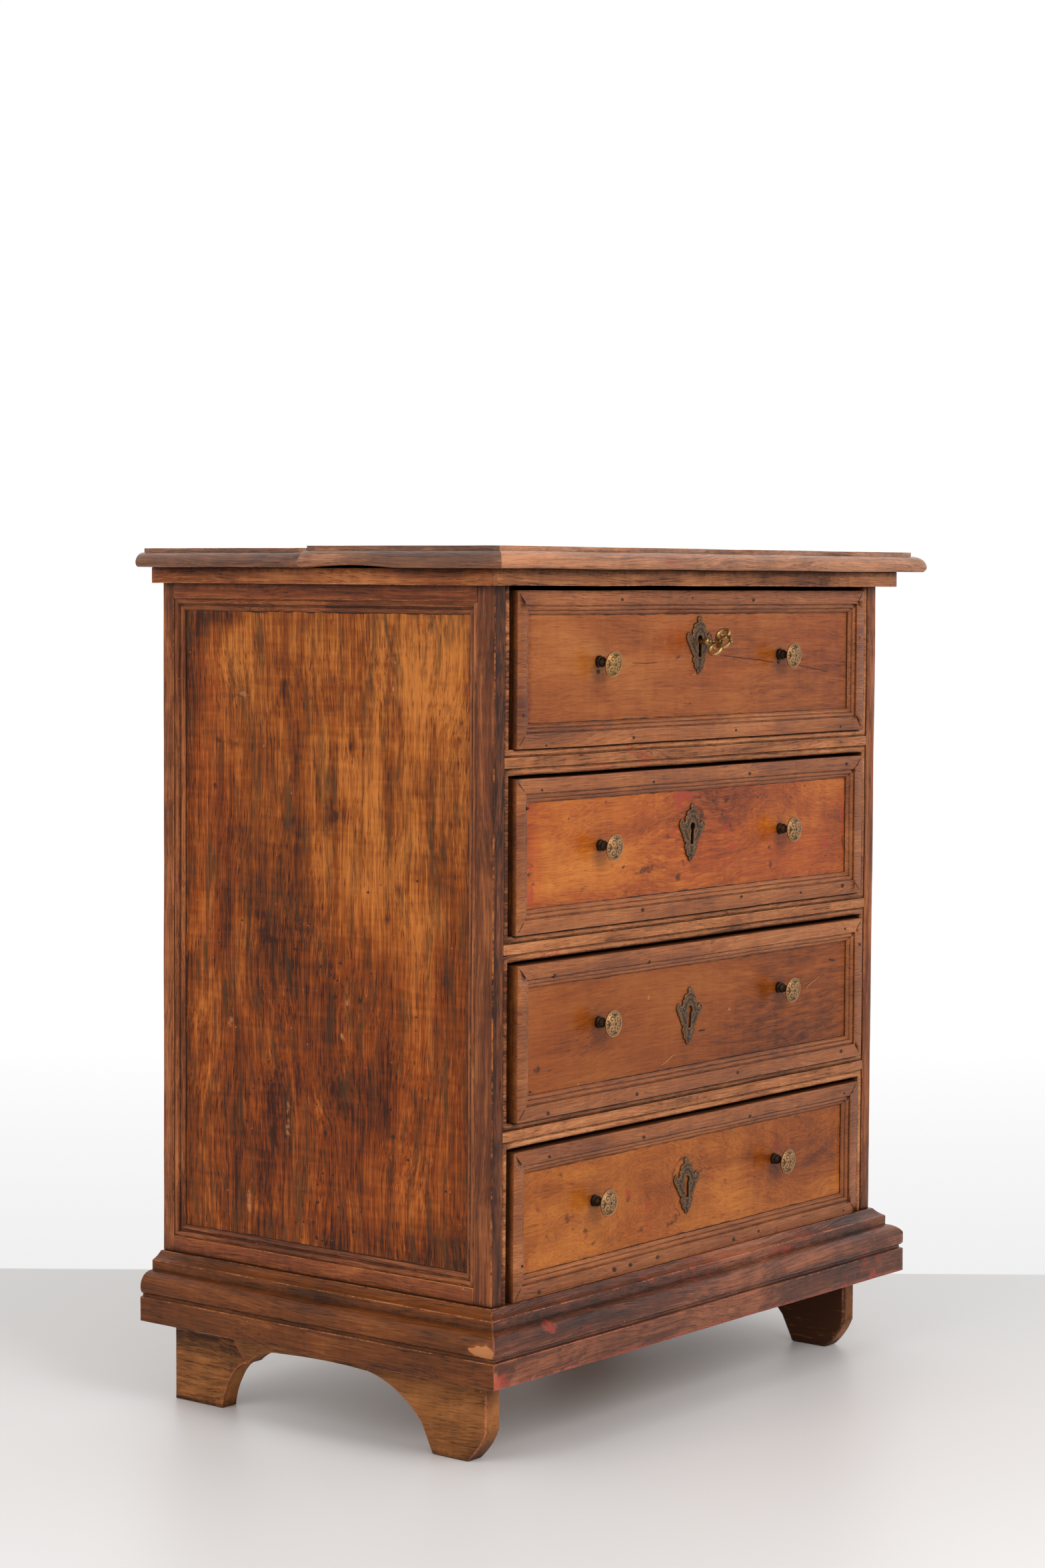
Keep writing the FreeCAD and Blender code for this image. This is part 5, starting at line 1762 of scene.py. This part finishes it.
@dataclass
class Drawer:
    """One drawer: its front with its marks, its moulded frame, its box and its brass.

    Lengths are in millimetres. Each knob is a place across and up and its droop in degrees,
    the plate is a place and its lean, and nails and holes are places and radii. mitre is how
    long the frame's mitres show, and inset how far they start from its corners.
    """

    number: int
    wood: Walnut
    knobs: tuple[Place, Place]
    plate: Place
    marks: Marks
    nails: tuple[Place, ...]
    lines: tuple[Sliver, ...] = ()
    holes: tuple[Place, ...] = ()
    gold: tuple[bool, bool] = (False, False)
    locked: bool = False
    slot: str = "drawer_walnut"
    nail_share: float = 0.8
    gap: float = 1.3
    mitre: float = 9.0
    mitre_gap: float = 0.3
    inset: float = 3.6

    @property
    def body(self) -> str:
        """The body that the drawer's pieces ride on."""
        return f"drawer_{self.number}"

    def node(self, part: str) -> str:
        """Name one of the drawer's nodes."""
        return f"{self.body}_{part}"

    def build(self) -> None:
        """Build the drawer's pieces."""
        x, z, lean = self.plate
        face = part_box(self.node("frame"))[0][1] / MM
        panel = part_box(self.node("front"))[0][1] / MM
        MarkedBoard(self.node("front"), self.wood, self.slot, self.body, 1, Grain.ACROSS, self.marks,
                    keyhole=(x, z) if self.locked else None).build()
        Carpentry(self.node("frame"), STRIP_WOOD, self.slot, self.body, ease=0.5, spacing=12.0).build()
        nails = [(across, up, size * self.nail_share) for across, up, size in self.nails]
        Plugs(self.node("plugs"), nails, face, self.body, self.slot).build()
        gaps = opening(self.node("frame"), 1, panel * MM, self.gap)
        Slivers(self.node("cracks"), [*self.lines, *gaps], panel, self.body, self.slot).build()
        if self.holes:
            Plugs(self.node("holes"), self.holes, panel, self.body, self.slot).build()
        Slivers(self.node("mitres"), self.mitres(), face, self.body, self.slot).build()
        KeyPlate((x, panel, z), lean).build(self.node("plate"), self.body, self.node("key_plate"))
        self.pair_of_knobs(panel)
        Carpentry(self.node("box"), HIDDEN_WOOD, "inside_wood", self.body, ease=0.7, spacing=40.0,
                  amount=0.2).build()
        dress(self.node("bottom"), HIDDEN_WOOD.material(Grain.ACROSS))

    def mitres(self) -> list[Sliver]:
        """Draw the lines where the frame's strips meet.

        Returns:
            The four lines.
        """
        low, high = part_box(self.node("frame"))
        found = []
        for x, side in ((low[0], 1), (high[0], -1)):
            for z, way in ((low[2], 1), (high[2], -1)):
                start = x / MM + self.inset * side, z / MM + self.inset * way
                stop = start[0] + self.mitre * side, start[1] + self.mitre * way
                found.append(Sliver((start, stop), self.mitre_gap))
        return found

    def pair_of_knobs(self, panel: float) -> None:
        """Build the drawer's two knobs.

        Args:
            panel: Where the front's face is.
        """
        pair = bmesh.new()
        pair.verts.layers.float.new("relief")
        metals = []
        for (across, up, droop), bright in zip(self.knobs, self.gold):
            knob = Knob((across, panel, up), droop).build()
            for face in knob.faces:
                face.material_index += len(metals)
            Bench.join(knob, pair)
            metals += [(GOLD_BRASS if bright else OLD_BRASS).material(), BRONZE.material()]
        Bench.piece(self.node("chased_knobs"), pair, metals, self.body, "brass", [self.node("knobs")], 40.0)


@dataclass
class Case:
    """The case: posts, rails, side panels with their mouldings, and the boards behind."""

    panel_marks: Marks
    slot: str = "case_walnut"
    gap: float = 1.7
    post_marks: Marks = (
        *spots(Mark.DARK, (-347, 550, 30, 700, 0.7)), *spots(Mark.PALE, (347, 550, 30, 700, 0.3)),
        *spots(Mark.RED, (331, 813, 4, 9, 1.0)),
    )
    bead_marks: Marks = spots(Mark.DARK, (-338, 550, 12, 700, 0.9))

    def build(self) -> None:
        """Build the case's pieces."""
        for side in ("left", "right"):
            self.side(side)
        for node in ("top_rail", "divider_rails", "bottom_rail"):
            Carpentry(node, RAIL_WOOD, self.slot, ease=0.7).build()
        Carpentry("opening_beads", RAIL_WOOD, self.slot, ease=0.25, spacing=16.0,
                  marks=self.bead_marks).build()
        Carpentry("back_boards", HIDDEN_WOOD, "inside_wood", ease=0.8, spacing=40.0).build()
        for node in ("drawer_runners", "bottom_board"):
            dress(node, HIDDEN_WOOD.material(Grain.ACROSS))

    def side(self, side: str) -> None:
        """Build one side: its panel, rails, moulding, worm holes and posts.

        Args:
            side: Which side, left or right.
        """
        left = side == "left"
        MarkedBoard(f"side_panel_{side}", PANEL_WOOD, self.slot, "root", 0, Grain.UPRIGHT, self.panel_marks,
                    spacing=2.4 if left else 4.0).build()
        Carpentry(f"side_rails_{side}", SIDE_RAIL_WOOD, self.slot, spacing=18.0).build()
        Carpentry(f"side_moulding_{side}", CASE_WOOD, self.slot, ease=0.5, spacing=18.0,
                  framed=(1, 2)).build()
        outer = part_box(f"side_panel_{side}")[0 if left else 1][0]
        gaps = opening(f"side_moulding_{side}", 0, outer, self.gap)
        Slivers(f"side_gap_{side}", gaps, outer / MM + (0.0 if left else 0.3), "root", self.slot, 0).build()
        holes = [(y, z, 0.7 + 2.6 * abs(noise.noise(Vector((y * 0.9, z * 0.9, 0.3))))) for y, z in WORM_HOLES]
        Plugs(f"worm_holes_{side}", holes, outer / MM + (0.15 if left else -0.2), "root", self.slot,
              0).build()
        Carpentry(f"post_front_{side}", CASE_WOOD, self.slot, ease=1.3, spacing=5.5, marks=self.post_marks,
                  only=on_front).build()
        Carpentry(f"post_rear_{side}", CASE_WOOD, self.slot, ease=1.0, spacing=18.0).build()


@dataclass
class Top:
    """The moulded top's two boards and the frieze under them.

    The front board has lifted off the frieze at the left side. In metres, gap_at and gap_half
    are the gap's middle and half length, gap_side and gap_under the places it runs out to
    and the lengths it does that in, and gap_height its height.
    """

    gap_at: float = -0.045
    gap_half: float = 0.065
    gap_side: Point = (-0.33, 0.02)
    gap_under: Point = (0.94, 0.008)
    gap_height: float = 0.003

    def lift(self, place: Vector) -> Vector:
        """Lift the front board's underside where it has shrunk off the frieze.

        Args:
            place: A point of the board.

        Returns:
            Where it goes.
        """
        share = max(0.0, 1.0 - abs(place.y - self.gap_at) / self.gap_half)
        near = clamp((self.gap_side[0] - place.x) / self.gap_side[1])
        low = clamp((self.gap_under[0] - place.z) / self.gap_under[1])
        return place + along(2, self.gap_height * math.sin(share * math.pi / 2) * near * low)

    def build(self) -> None:
        """Build the top's pieces."""
        for node, dim, bend in (("top_board_front", 0.1, self.lift), ("top_board_rear", 0.45, None)):
            # The pale band along the boards' front edge is a painted highlight; the dark band at their left
            # end darkens that end.
            marks = (*spots(Mark.DARK, (-405, 0, 16, 600, dim)), *spots(Mark.PALE, (0, -258, 900, 14, 0.25)))
            Carpentry(node, TOP_WOOD, "top_walnut", ease=0.8, spacing=12.0, grain=Grain.ACROSS, framed=(0, 1),
                      border=0.03, marks=marks, face=(0, 1), bend=bend).build()
        for side, wood in (("front", RAIL_WOOD), ("left", FRIEZE_WOOD), ("right", FRIEZE_WOOD)):
            Carpentry(f"frieze_{side}", wood, "case_walnut").build()


@dataclass
class Base:
    """The moulded base, its feet and the arched boards between them."""

    slot: str = "base_walnut"
    foot_slot: str = "foot_walnut"
    chip: Marks = (
        *spots(Mark.RUBBED, (-237.0, 129.0, 8.0, 5.5, 3.0), (-225.0, 129.5, 8.0, 3.5, 3.0)),
        *spots(Mark.PALE, (-233.0, 129.0, 15.0, 8.0, 1.0)),
    )
    front: Marks = (
        *spots(Mark.PAINT, (-386, 99, 14, 9, 0.95), (-300, 141, 22, 6, 0.7), (150, 151, 44, 5, 0.7),
                           (300, 128, 22, 8, 0.65), (318, 97, 8, 6, 1.0)),
        *strokes(Mark.PAINT, (3.5, 0.72, ((-396, 92), (384, 92)))),
        *spots(Mark.RUBBED, (-393, 98, 7, 11, 1.0)),
        *strokes(Mark.RUBBED, (2.5, 0.75, ((-396, 91), (-250, 91)))),
        *spots(Mark.DARK, (-150, 146, 260, 10, 0.4), (200, 122, 180, 6, 0.4)),
    )

    def build(self) -> None:
        """Build the base's pieces."""
        Carpentry("base_moulding_front", BASE_FRONT_WOOD, self.slot, ease=0.8, spacing=7.0,
                  marks=self.front).build()
        Carpentry("base_moulding_left", BASE_WOOD, self.slot, ease=0.8, spacing=3.0, cuts=(1, 2),
                  marks=self.chip, face=(1, 2)).build()
        Carpentry("base_moulding_right", BASE_WOOD, self.slot, ease=0.8).build()
        # The dark marks on the feet's left faces are painted shade from the space under the base, deepest on
        # the front right foot.
        for leg, dim in (("front_left", 0.0), ("front_right", 1.4), ("rear_left", 0.7), ("rear_right", 0.5)):
            Carpentry(f"foot_{leg}", FOOT_WOOD, self.foot_slot, ease=1.6, spacing=9.0, grain=Grain.DEEP,
                      marks=spots(Mark.DARK, (0, 50, 400, 400, dim)), face=(1, 2), only=facing_left).build()
        for side in ("left", "right"):
            Carpentry(f"arch_board_{side}", FOOT_WOOD, self.foot_slot, ease=1.0, grain=Grain.DEEP).build()


@dataclass
class Studio:
    """A pale floor that runs up to white, soft light from above, and the camera.

    Lengths are in metres, angles in radians and the lens in millimetres. The floor turns
    white between the two distances of edge, along the line away, and its white brightens
    from the first level of glow to the second over the two distances of fade.
    """

    eye: Place = (-2.99432, -2.3428, 0.9182)
    yaw: float = 0.89986
    pitch: float = -0.06206
    roll: float = 0.00598
    lens: float = 76.395
    floor_size: float = 16.0
    floor_grey: Colour = (0.79, 0.775, 0.765)
    away: Place = (0.7832, 0.6218, 0.0)
    edge: Point = (0.555, 0.562)
    fade: Point = (0.56, 2.6)
    glow: Point = (0.87, 1.0)
    room_light: float = 0.68

    def build(self) -> None:
        """Set up the camera, the floor and the lights."""
        self.camera()
        self.floor()
        self.world()
        self.softbox("softbox_high", (-0.5, -2.8, 2.1), (0.0, 0.0, 0.5), size=1.6, power=50.0)
        self.softbox("softbox_left", (-2.9, 0.2, 1.9), (-0.2, 0.0, 0.5), size=1.8, power=26.0)

    def camera(self) -> None:
        """Make the camera."""
        level = math.cos(self.pitch)
        ahead = Vector((math.sin(self.yaw) * level, math.cos(self.yaw) * level, math.sin(self.pitch)))
        right = Vector((math.cos(self.yaw), -math.sin(self.yaw), 0))
        up = right.cross(ahead)
        turned = math.cos(self.roll) * right + math.sin(self.roll) * up
        raised = -math.sin(self.roll) * right + math.cos(self.roll) * up
        data = bpy.data.cameras.new("camera")
        data.sensor_width = 36.0
        data.lens = self.lens
        data.clip_start = 0.05
        data.clip_end = 60.0
        camera = Bench.put("camera", data)
        aimed = Matrix((turned, raised, -ahead)).transposed().to_4x4()
        camera.matrix_world = Matrix.Translation(self.eye) @ aimed
        bpy.context.scene.camera = camera

    def floor(self) -> None:
        """Make the floor: grey near the chest, white past a line behind it."""
        made = bmesh.new()
        bmesh.ops.create_circle(made, cap_ends=True, radius=self.floor_size, segments=64)
        mesh = bpy.data.meshes.new("floor")
        made.to_mesh(mesh)
        made.free()
        floor = Bench.put("floor", mesh)
        floor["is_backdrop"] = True
        tree = Tree(bpy.data.materials.new("floor"))
        place = tree.add("TexCoord").outputs["Object"]
        far = tree.add("VectorMath", {0: place, 1: self.away}, operation="DOT_PRODUCT").outputs["Value"]
        beyond = tree.ramp(far, *self.edge)
        light = tree.add("MapRange", dict(enumerate((far, *self.fade, *self.glow)))).outputs[0]
        white = tree.add("Emission", {"Color": (1.0, 1.0, 1.0), "Strength": light})
        grey = tree.add("BsdfPrincipled", {"Base Color": self.floor_grey, "Roughness": 0.42})
        seen = tree.add("LightPath").outputs["Is Camera Ray"]
        share = tree.times(beyond, seen)
        blend = tree.add("MixShader", {0: share, 1: grey.outputs[0], 2: white.outputs[0]})
        mesh.materials.append(tree.close(blend))

    def world(self) -> None:
        """Make the white surroundings."""
        tree = Tree(bpy.data.worlds.new("white_room"))
        rays = tree.add("LightPath").outputs
        seen = tree.maths("MAXIMUM", rays["Is Camera Ray"], rays["Is Glossy Ray"])
        level = tree.add("MapRange", {0: seen, 3: self.room_light, 4: 1.0}).outputs[0]
        room = tree.add("Background", {"Color": (1.0, 1.0, 1.0), "Strength": level})
        bpy.context.scene.world = tree.close(room, "OutputWorld")

    @staticmethod
    def softbox(name: str, at: Place, aim: Place, size: float, power: float) -> None:
        """Hang a square softbox.

        Args:
            name: Its name.
            at: Where it hangs.
            aim: Where it points.
            size: Its side.
            power: Its power in watts.
        """
        data = bpy.data.lights.new(name, "AREA")
        data.size = size
        data.energy = power
        turned = (Vector(aim) - Vector(at)).to_track_quat("-Z", "Y").to_matrix().to_4x4()
        Bench.put(name, data).matrix_world = Matrix.Translation(at) @ turned


# On each drawer front the broad dark spot towards the right, and on the first, second and fourth front the
# broad pale spot towards the left, are painted shade and highlight: the sheen painted brighter on the left.
# The other marks are stains, paint, wear and tone.
FRONT_1_MARKS: Marks = (
    *spots(Mark.STAIN, (-37, 832, 8, 2.2, 0.75), (-16, 780, 9, 1.2, 0.9, -10), (2, 811, 8, 3, 0.7),
        (272, 790, 3, 6, 0.6, 30), (-58, 830, 3, 2, 0.6)),
    *spots(Mark.RUBBED, (-3, 813, 7, 3, 0.7), (6, 780, 3, 1.5, 0.8), (-60, 848, 2, 3, 0.6)),
    *spots(Mark.PALE, (-220, 830, 90, 50, 0.35), (200, 785, 8, 2, 0.5)),
    *spots(Mark.DARK, (210, 825, 150, 100, 0.3), (-303, 822, 8, 80, 0.6), (120, 792, 42, 7, 0.5),
        (230, 830, 40, 30, 0.35), (215, 790, 30, 8, 0.45)),
    *spots(Mark.RED, (-40, 852, 30, 18, 0.6), (240, 850, 60, 30, 0.5), (40, 815, 60, 14, 0.4)),
)

FRONT_2_MARKS: Marks = (
    *spots(Mark.STAIN, (34, 671, 4, 3, 1.0), (44, 668, 3, 2.5, 0.9), (59, 670, 4, 3.5, 1.0),
        (40, 661, 3, 2, 0.9), (52, 655, 2, 3, 0.9), (98, 655, 5, 2.2, 0.9, -30),
        (121, 671, 2.6, 2.2, 1.0), (140, 670, 3, 2, 0.8), (127, 663, 2, 1.6, 0.8),
        (217, 680, 2.6, 1.8, 0.9), (188, 667, 3, 2, 0.8), (12, 658, 5, 7, 0.8), (14, 645, 3, 3, 0.8),
        (63, 641, 8, 3, 0.9, 10), (-52, 637, 3, 2.5, 0.9), (-31, 590, 6, 5, 0.95),
        (-24, 606, 7, 3, 0.7, -20), (-90, 602, 22, 5, 0.72, 8), (-62, 606, 3, 2, 0.9),
        (149, 593, 6, 4, 0.8), (145, 613, 1.8, 1.6, 1.1), (231, 580, 1.8, 1.6, 1.1),
        (-205, 590, 9, 5, 0.6), (-216, 573, 10, 4, 0.6), (-294, 611, 9, 2, 0.8, 12),
        (-290, 600, 7, 2, 0.7, 10), (-132, 608, 2.6, 2, 1.0), (-229, 664, 2, 1.6, 1.0),
        (-166, 680, 2, 1.4, 1.0), (-196, 671, 1.6, 1.4, 0.9), (-210, 628, 1.6, 1.4, 1.0),
        (-148, 624, 2, 1.6, 0.9), (-128, 580, 3, 1.6, 0.9), (262, 595, 3, 1.4, 0.8),
        (298, 610, 2, 8, 0.9)),
    *spots(Mark.PAINT, (-24, 679, 16, 6, 1.5), (-30, 669, 7, 5, 1.0), (-5, 682, 6, 3, 0.9),
        (71, 618, 8, 5, 0.95), (-42, 640, 6, 4, 0.95), (62, 599, 8, 3, 0.8), (32, 600, 6, 3, 0.8),
        (-12, 588, 8, 3, 0.85), (262, 612, 6, 8, 0.85), (275, 624, 5, 4, 0.7), (60, 640, 6, 5, 0.9),
        (-296, 588, 10, 12, 0.8), (-293, 680, 8, 8, 0.7), (296, 640, 3, 30, 1.0), (-262, 644, 5, 4, 0.7)),
    *spots(Mark.PALE, (-220, 630, 110, 50, 0.5)),
    *spots(Mark.DARK, (10, 640, 100, 70, 0.6), (210, 630, 110, 80, 0.14), (-40, 580, 200, 12, 0.4),
        (-55, 606, 70, 30, 0.5)),
    *spots(Mark.RED, (20, 620, 70, 30, 0.5), (-292, 620, 16, 60, 0.7), (200, 600, 90, 30, 0.5)),
)

FRONT_3_MARKS: Marks = (
    *spots(Mark.STAIN, (-284, 405, 7, 4, 0.75), (-263, 403, 5, 2.5, 0.7), (-229, 429, 4, 2, 0.6),
        (12, 416, 8, 1.6, 0.85), (274, 473, 6, 1.8, 0.85, -15), (88, 437, 4, 2, 0.6),
        (-271, 452, 3, 4, 0.5), (-250, 486, 26, 3, 0.5)),
    *strokes(Mark.PAINT, (1.4, 1.1, ((-41, 430), (-37, 431), (-32, 427)))),
    *spots(Mark.RUBBED, (66, 435, 4, 2.4, 0.75, -20), (-88, 463, 2, 3, 0.7), (-61, 479, 6, 1.2, 0.6),
        (-86, 417, 2.2, 1.4, 0.9), (-213, 381, 3, 2, 0.8), (205, 455, 1.4, 1.2, 0.9)),
    *spots(Mark.PALE, (60, 470, 70, 16, 0.3)),
    *spots(Mark.DARK, (200, 440, 170, 90, 0.7), (110, 396, 40, 9, 0.45), (-200, 440, 90, 50, 0.2),
        (200, 480, 80, 12, 0.3)),
    *spots(Mark.RED, (-270, 440, 30, 50, 0.3)),
)

FRONT_4_MARKS: Marks = (
    *spots(Mark.STAIN, (-225, 239, 6, 6, 0.9), (-236, 287, 5, 4, 0.72), (-118, 246, 7, 5, 0.72),
        (-36, 207, 13, 3.4, 0.9, 12), (-28, 213, 9, 2, 0.8), (-80, 240, 7, 8, 0.7), (-92, 208, 8, 5, 0.7),
        (-80, 250, 9, 4, 0.5), (-194, 222, 5, 4, 0.7), (-180, 206, 7, 3, 0.7), (-216, 228, 4, 3, 0.6),
        (-261, 222, 5, 5, 0.6), (-262, 210, 3, 3, 0.6), (-258, 192, 2, 1.6, 1.0), (-216, 202, 4, 2, 0.7),
        (36, 249, 6, 1.6, 0.6), (108, 238, 5, 3, 0.6), (169, 268, 8, 12, 0.66), (152, 214, 4, 2, 0.7),
        (181, 222, 3, 2, 0.8), (219, 206, 2, 4, 0.6), (211, 220, 2, 1.6, 0.7), (208, 295, 10, 2, 0.7, -8),
        (-187, 293, 7, 2, 0.8), (-100, 284, 3, 1.4, 0.8), (-140, 272, 4, 1.4, 0.7),
        (-170, 263, 12, 2, 0.5), (-158, 209, 3, 2, 0.7)),
    *strokes(Mark.STAIN, (1.3, 0.9, ((12, 272), (0, 278), (-14, 279), (-28, 272), (-36, 262),
        (-39, 248), (-37, 236), (-30, 222), (-20, 213))), (1.4, 0.85, ((14, 257), (26, 259), (40, 257))),
        (1.2, 0.8, ((14, 268), (17, 263)))),
    *spots(Mark.PAINT, (-225, 240, 2.5, 3, 0.9), (-119, 250, 6, 6, 0.85), (-82, 232, 6, 5, 0.8),
        (-86, 214, 4, 3, 0.75), (-193, 216, 5, 3, 0.8), (-296, 200, 5, 6, 0.8), (40, 246, 6, 3, 0.85),
        (107, 241, 4, 4, 0.85), (168, 266, 5, 9, 0.8), (155, 218, 3, 3, 0.8)),
    *spots(Mark.PALE, (-180, 250, 110, 50, 0.25), (60, 220, 80, 25, 0.3)),
    *spots(Mark.DARK, (200, 250, 150, 90, 0.25), (230, 270, 70, 30, 0.35)),
    *spots(Mark.RED, (-70, 225, 40, 26, 0.4), (180, 260, 40, 26, 0.4)),
)

SIDE_MARKS: Marks = (
    *spots(Mark.STAIN, (150, 788, 9, 3, 0.7), (176, 738, 12, 3, 0.7, 15), (7, 663, 5, 8, 0.95),
        (-15, 738, 3, 5, 0.8), (-145, 499, 8, 6, 0.66), (-122, 499, 5, 7, 0.6), (-122, 307, 8, 6, 0.62),
        (162, 440, 8, 12, 0.62), (160, 735, 16, 6, 0.6, 8), (184, 688, 4, 6, 0.9), (55, 775, 10, 10, 0.5),
        (40, 790, 8, 5, 0.5), (-120, 815, 16, 5, 0.5), (175, 770, 16, 30, 0.4), (70, 640, 30, 50, 0.36),
        (130, 560, 50, 60, 0.42)),
    *spots(Mark.RUBBED, (132, 235, 5, 16, 0.66), (160, 430, 6, 7, 0.7), (140, 790, 9, 4, 0.6),
        (110, 735, 3, 4, 0.7), (-73, 800, 1.6, 2.4, 1.0), (-77, 828, 1.6, 1.6, 1.0),
        (-10, 466, 3, 4, 0.8), (-4, 428, 3, 5, 0.8), (75, 330, 4, 30, 0.5), (-70, 262, 2, 8, 0.7)),
    *spots(Mark.PALE, (-120, 620, 60, 160, 0.6), (-90, 720, 110, 170, 0.75), (40, 800, 80, 60, 0.35),
        (180, 840, 44, 34, 0.55), (30, 300, 30, 50, 0.3), (30, 600, 20, 30, 0.4),
        (200, 400, 16, 100, 0.3)),
    *spots(Mark.DARK, (130, 300, 120, 130, 0.6), (20, 215, 230, 24, 0.7), (130, 640, 60, 110, 0.3),
        (8, 665, 15, 22, 0.9), (-15, 740, 7, 12, 0.8), (90, 480, 110, 90, 0.5), (-60, 480, 120, 60, 0.3),
        (150, 560, 60, 100, 0.35), (-150, 240, 40, 60, 0.3), (210, 300, 20, 120, 0.3),
        (-20, 380, 40, 60, 0.35), (220, 864, 24, 16, 0.45), (-182, 540, 6, 330, 0.5),
        (20, 220, 200, 26, 0.35)),
    *strokes(Mark.DARK, (3.9, 0.6, ((7, 650), (6, 600), (9, 562))),
        (5.4, 0.64, ((-68, 866), (-67, 780), (-68, 700), (-67, 640))),
        (4.8, 0.47, ((-30, 850), (-31, 790), (-29, 720))),
        (4.2, 0.45, ((-127, 850), (-128, 760), (-126, 640))), (3.6, 0.47, ((-15, 800), (-14, 745))),
        (4.8, 0.5, ((9, 740), (9, 690))), (3.6, 0.58, ((-82, 780), (-80, 760))),
        (4.8, 0.39, ((-70, 470), (-72, 380))), (3.6, 0.54, ((32, 700), (30, 640))),
        (4.8, 0.47, ((63, 760), (63, 700), (60, 640))), (4.8, 0.47, ((105, 740), (104, 680))),
        (6.1, 0.58, ((84, 800), (86, 770))), (6.1, 0.47, ((165, 640), (166, 560), (164, 500))),
        (4.8, 0.54, ((-27, 420), (-30, 330), (-28, 240))), (4.8, 0.47, ((-125, 300), (-124, 236))),
        (4.8, 0.47, ((-70, 300), (-71, 230))), (4.2, 0.58, ((60, 400), (63, 345))),
        (6.1, 0.58, ((114, 300), (122, 262), (130, 215))),
        (4.8, 0.47, ((143, 500), (145, 440), (150, 400))), (3.6, 0.44, ((52, 330), (60, 270), (70, 215))),
        (15.0, 0.62, ((228, 870), (228, 210))), (11.0, 0.62, ((-170, 202), (225, 202))),
        (9.0, 0.5, ((150, 873), (228, 873))), (6.6, 0.62, ((-184, 872), (-184, 205)))),
    *spots(Mark.RED, (0, 340, 240, 190, 0.7), (190, 620, 40, 160, 0.7), (200, 760, 30, 90, 0.7),
        (-150, 480, 70, 60, 0.5), (40, 520, 60, 60, 0.4)),
)

WORM_HOLES: tuple[Point, ...] = (
    (4, 488), (9, 490), (-3, 482), (8, 470), (15, 493), (-27, 469), (28, 501), (102, 524), (107, 528),
    (107, 523), (120, 549), (81, 566), (-57, 594), (-39, 585), (-3, 437), (-96, 306), (-148, 279),
    (-124, 275), (7, 287), (7, 262), (2, 244), (24, 278), (31, 246), (-30, 243), (-20, 220), (38, 223),
    (55, 205), (78, 312), (136, 323), (178, 530), (191, 530), (178, 516), (166, 459), (-107, 601), (0, 507),
    (64, 517), (57, 545), (44, 545), (22, 328), (22, 323), (-137, 337), (-71, 357), (-75, 328), (-106, 458),
    (-106, 444), (48, 288), (10, 278), (25, 205), (33, 207), (52, 222), (63, 220), (53, 255), (32, 265),
    (132, 353), (118, 371), (101, 371), (75, 362), (160, 359), (126, 360), (143, 543), (29, 358), (33, 352),
    (216, 357), (58, 500), (87, 499), (-44, 499),
)


def chest_drawers() -> list[Drawer]:
    """List the four drawers, from the top down.

    Returns:
        The drawers.
    """
    return [
        Drawer(1, FRONT_1, knobs=((-179.4, 829.8, 8.0), (161.5, 832.4, 3.0)), plate=(3.1, 851.2, 1.3),
               marks=FRONT_1_MARKS,
               nails=((-148, 895, 2.2), (98, 894, 2.6), (-126, 747, 2.6), (-278, 744, 1.8), (66, 749, 2.0),
                      (280, 746, 2.0), (-316, 776, 2.6), (-20, 897, 1.4), (318, 850, 1.8)),
               lines=(Sliver(((44, 833), (90, 829), (120, 826.5), (150, 823)), 0.55),
                      Sliver(((182, 822), (222, 816), (262, 811)), 0.35),
                      Sliver(((-120, 827), (-96, 826), (-74, 827)), 0.3)),
               holes=((-180.0, 818.5, 2.6), (160.5, 823.0, 2.0)), gold=(True, False), locked=True),
        Drawer(2, FRONT_2, knobs=((-175.0, 633.9, 4.5), (165.9, 632.9, 0.5)), plate=(-7.8, 644.8, 4.2),
               marks=FRONT_2_MARKS,
               nails=((-285, 698, 2.2), (-89, 698, 2.4), (94, 699, 2.6), (294, 702, 3.0), (-107, 560, 3.0),
                      (80, 561, 2.4), (288, 559, 3.4), (-309, 680, 2.4), (200, 557, 1.8)),
               locked=True),
        Drawer(3, FRONT_3, knobs=((-179.2, 444.9, 0.5), (162.7, 450.6, 5.5)), plate=(-14.0, 442.0, 4.2),
               marks=FRONT_3_MARKS,
               nails=((-265, 503, 2.6), (-98, 503, 2.2), (290, 508, 2.2), (-275, 359, 3.0), (-119, 361, 2.8),
                      (72, 363, 2.6), (284, 364, 3.4), (-305, 385, 1.8), (322, 487, 2.4)),
               lines=(Sliver(((219, 441), (222, 446), (236, 451), (251, 457)), 0.6, True),
                      Sliver(((-66, 385), (-40, 395)), 0.5, True), Sliver(((6, 416.5), (18, 416)), 1.3),
                      Sliver(((268, 474), (280, 471)), 1.5))),
        Drawer(4, FRONT_4, knobs=((-179.4, 252.2, 1.0), (162.4, 251.8, 3.0)), plate=(-11.0, 251.5, -0.9),
               marks=FRONT_4_MARKS,
               nails=((-267, 312, 2.4), (-100, 311, 3.0), (103, 309, 2.6), (299, 312, 2.0), (-283, 171, 3.4),
                      (-152, 174, 3.8), (-123, 174, 3.4), (-73, 175, 3.2), (73, 172, 3.2), (123, 174, 2.0),
                      (300, 172, 1.8), (-312, 203, 2.0))),
    ]


def main() -> None:
    """Build the chest, its brass and the room round it."""
    logging.basicConfig(level=logging.INFO, format="%(message)s")
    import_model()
    packed = Bench.measure()
    bpy.context.scene.view_settings.view_transform = "Standard"
    Studio().build()
    Top().build()
    Case(SIDE_MARKS).build()
    Base().build()
    for drawer in chest_drawers():
        drawer.build()
    Key((3.1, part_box("drawer_1_front")[0][1] / MM, 848.6)).build()
    for node in ("lock_1_case", "lock_2_case", "lock_1_bolt", "lock_2_bolt"):
        dress(node, IRON.material())


if __name__ == "__main__":
    main()
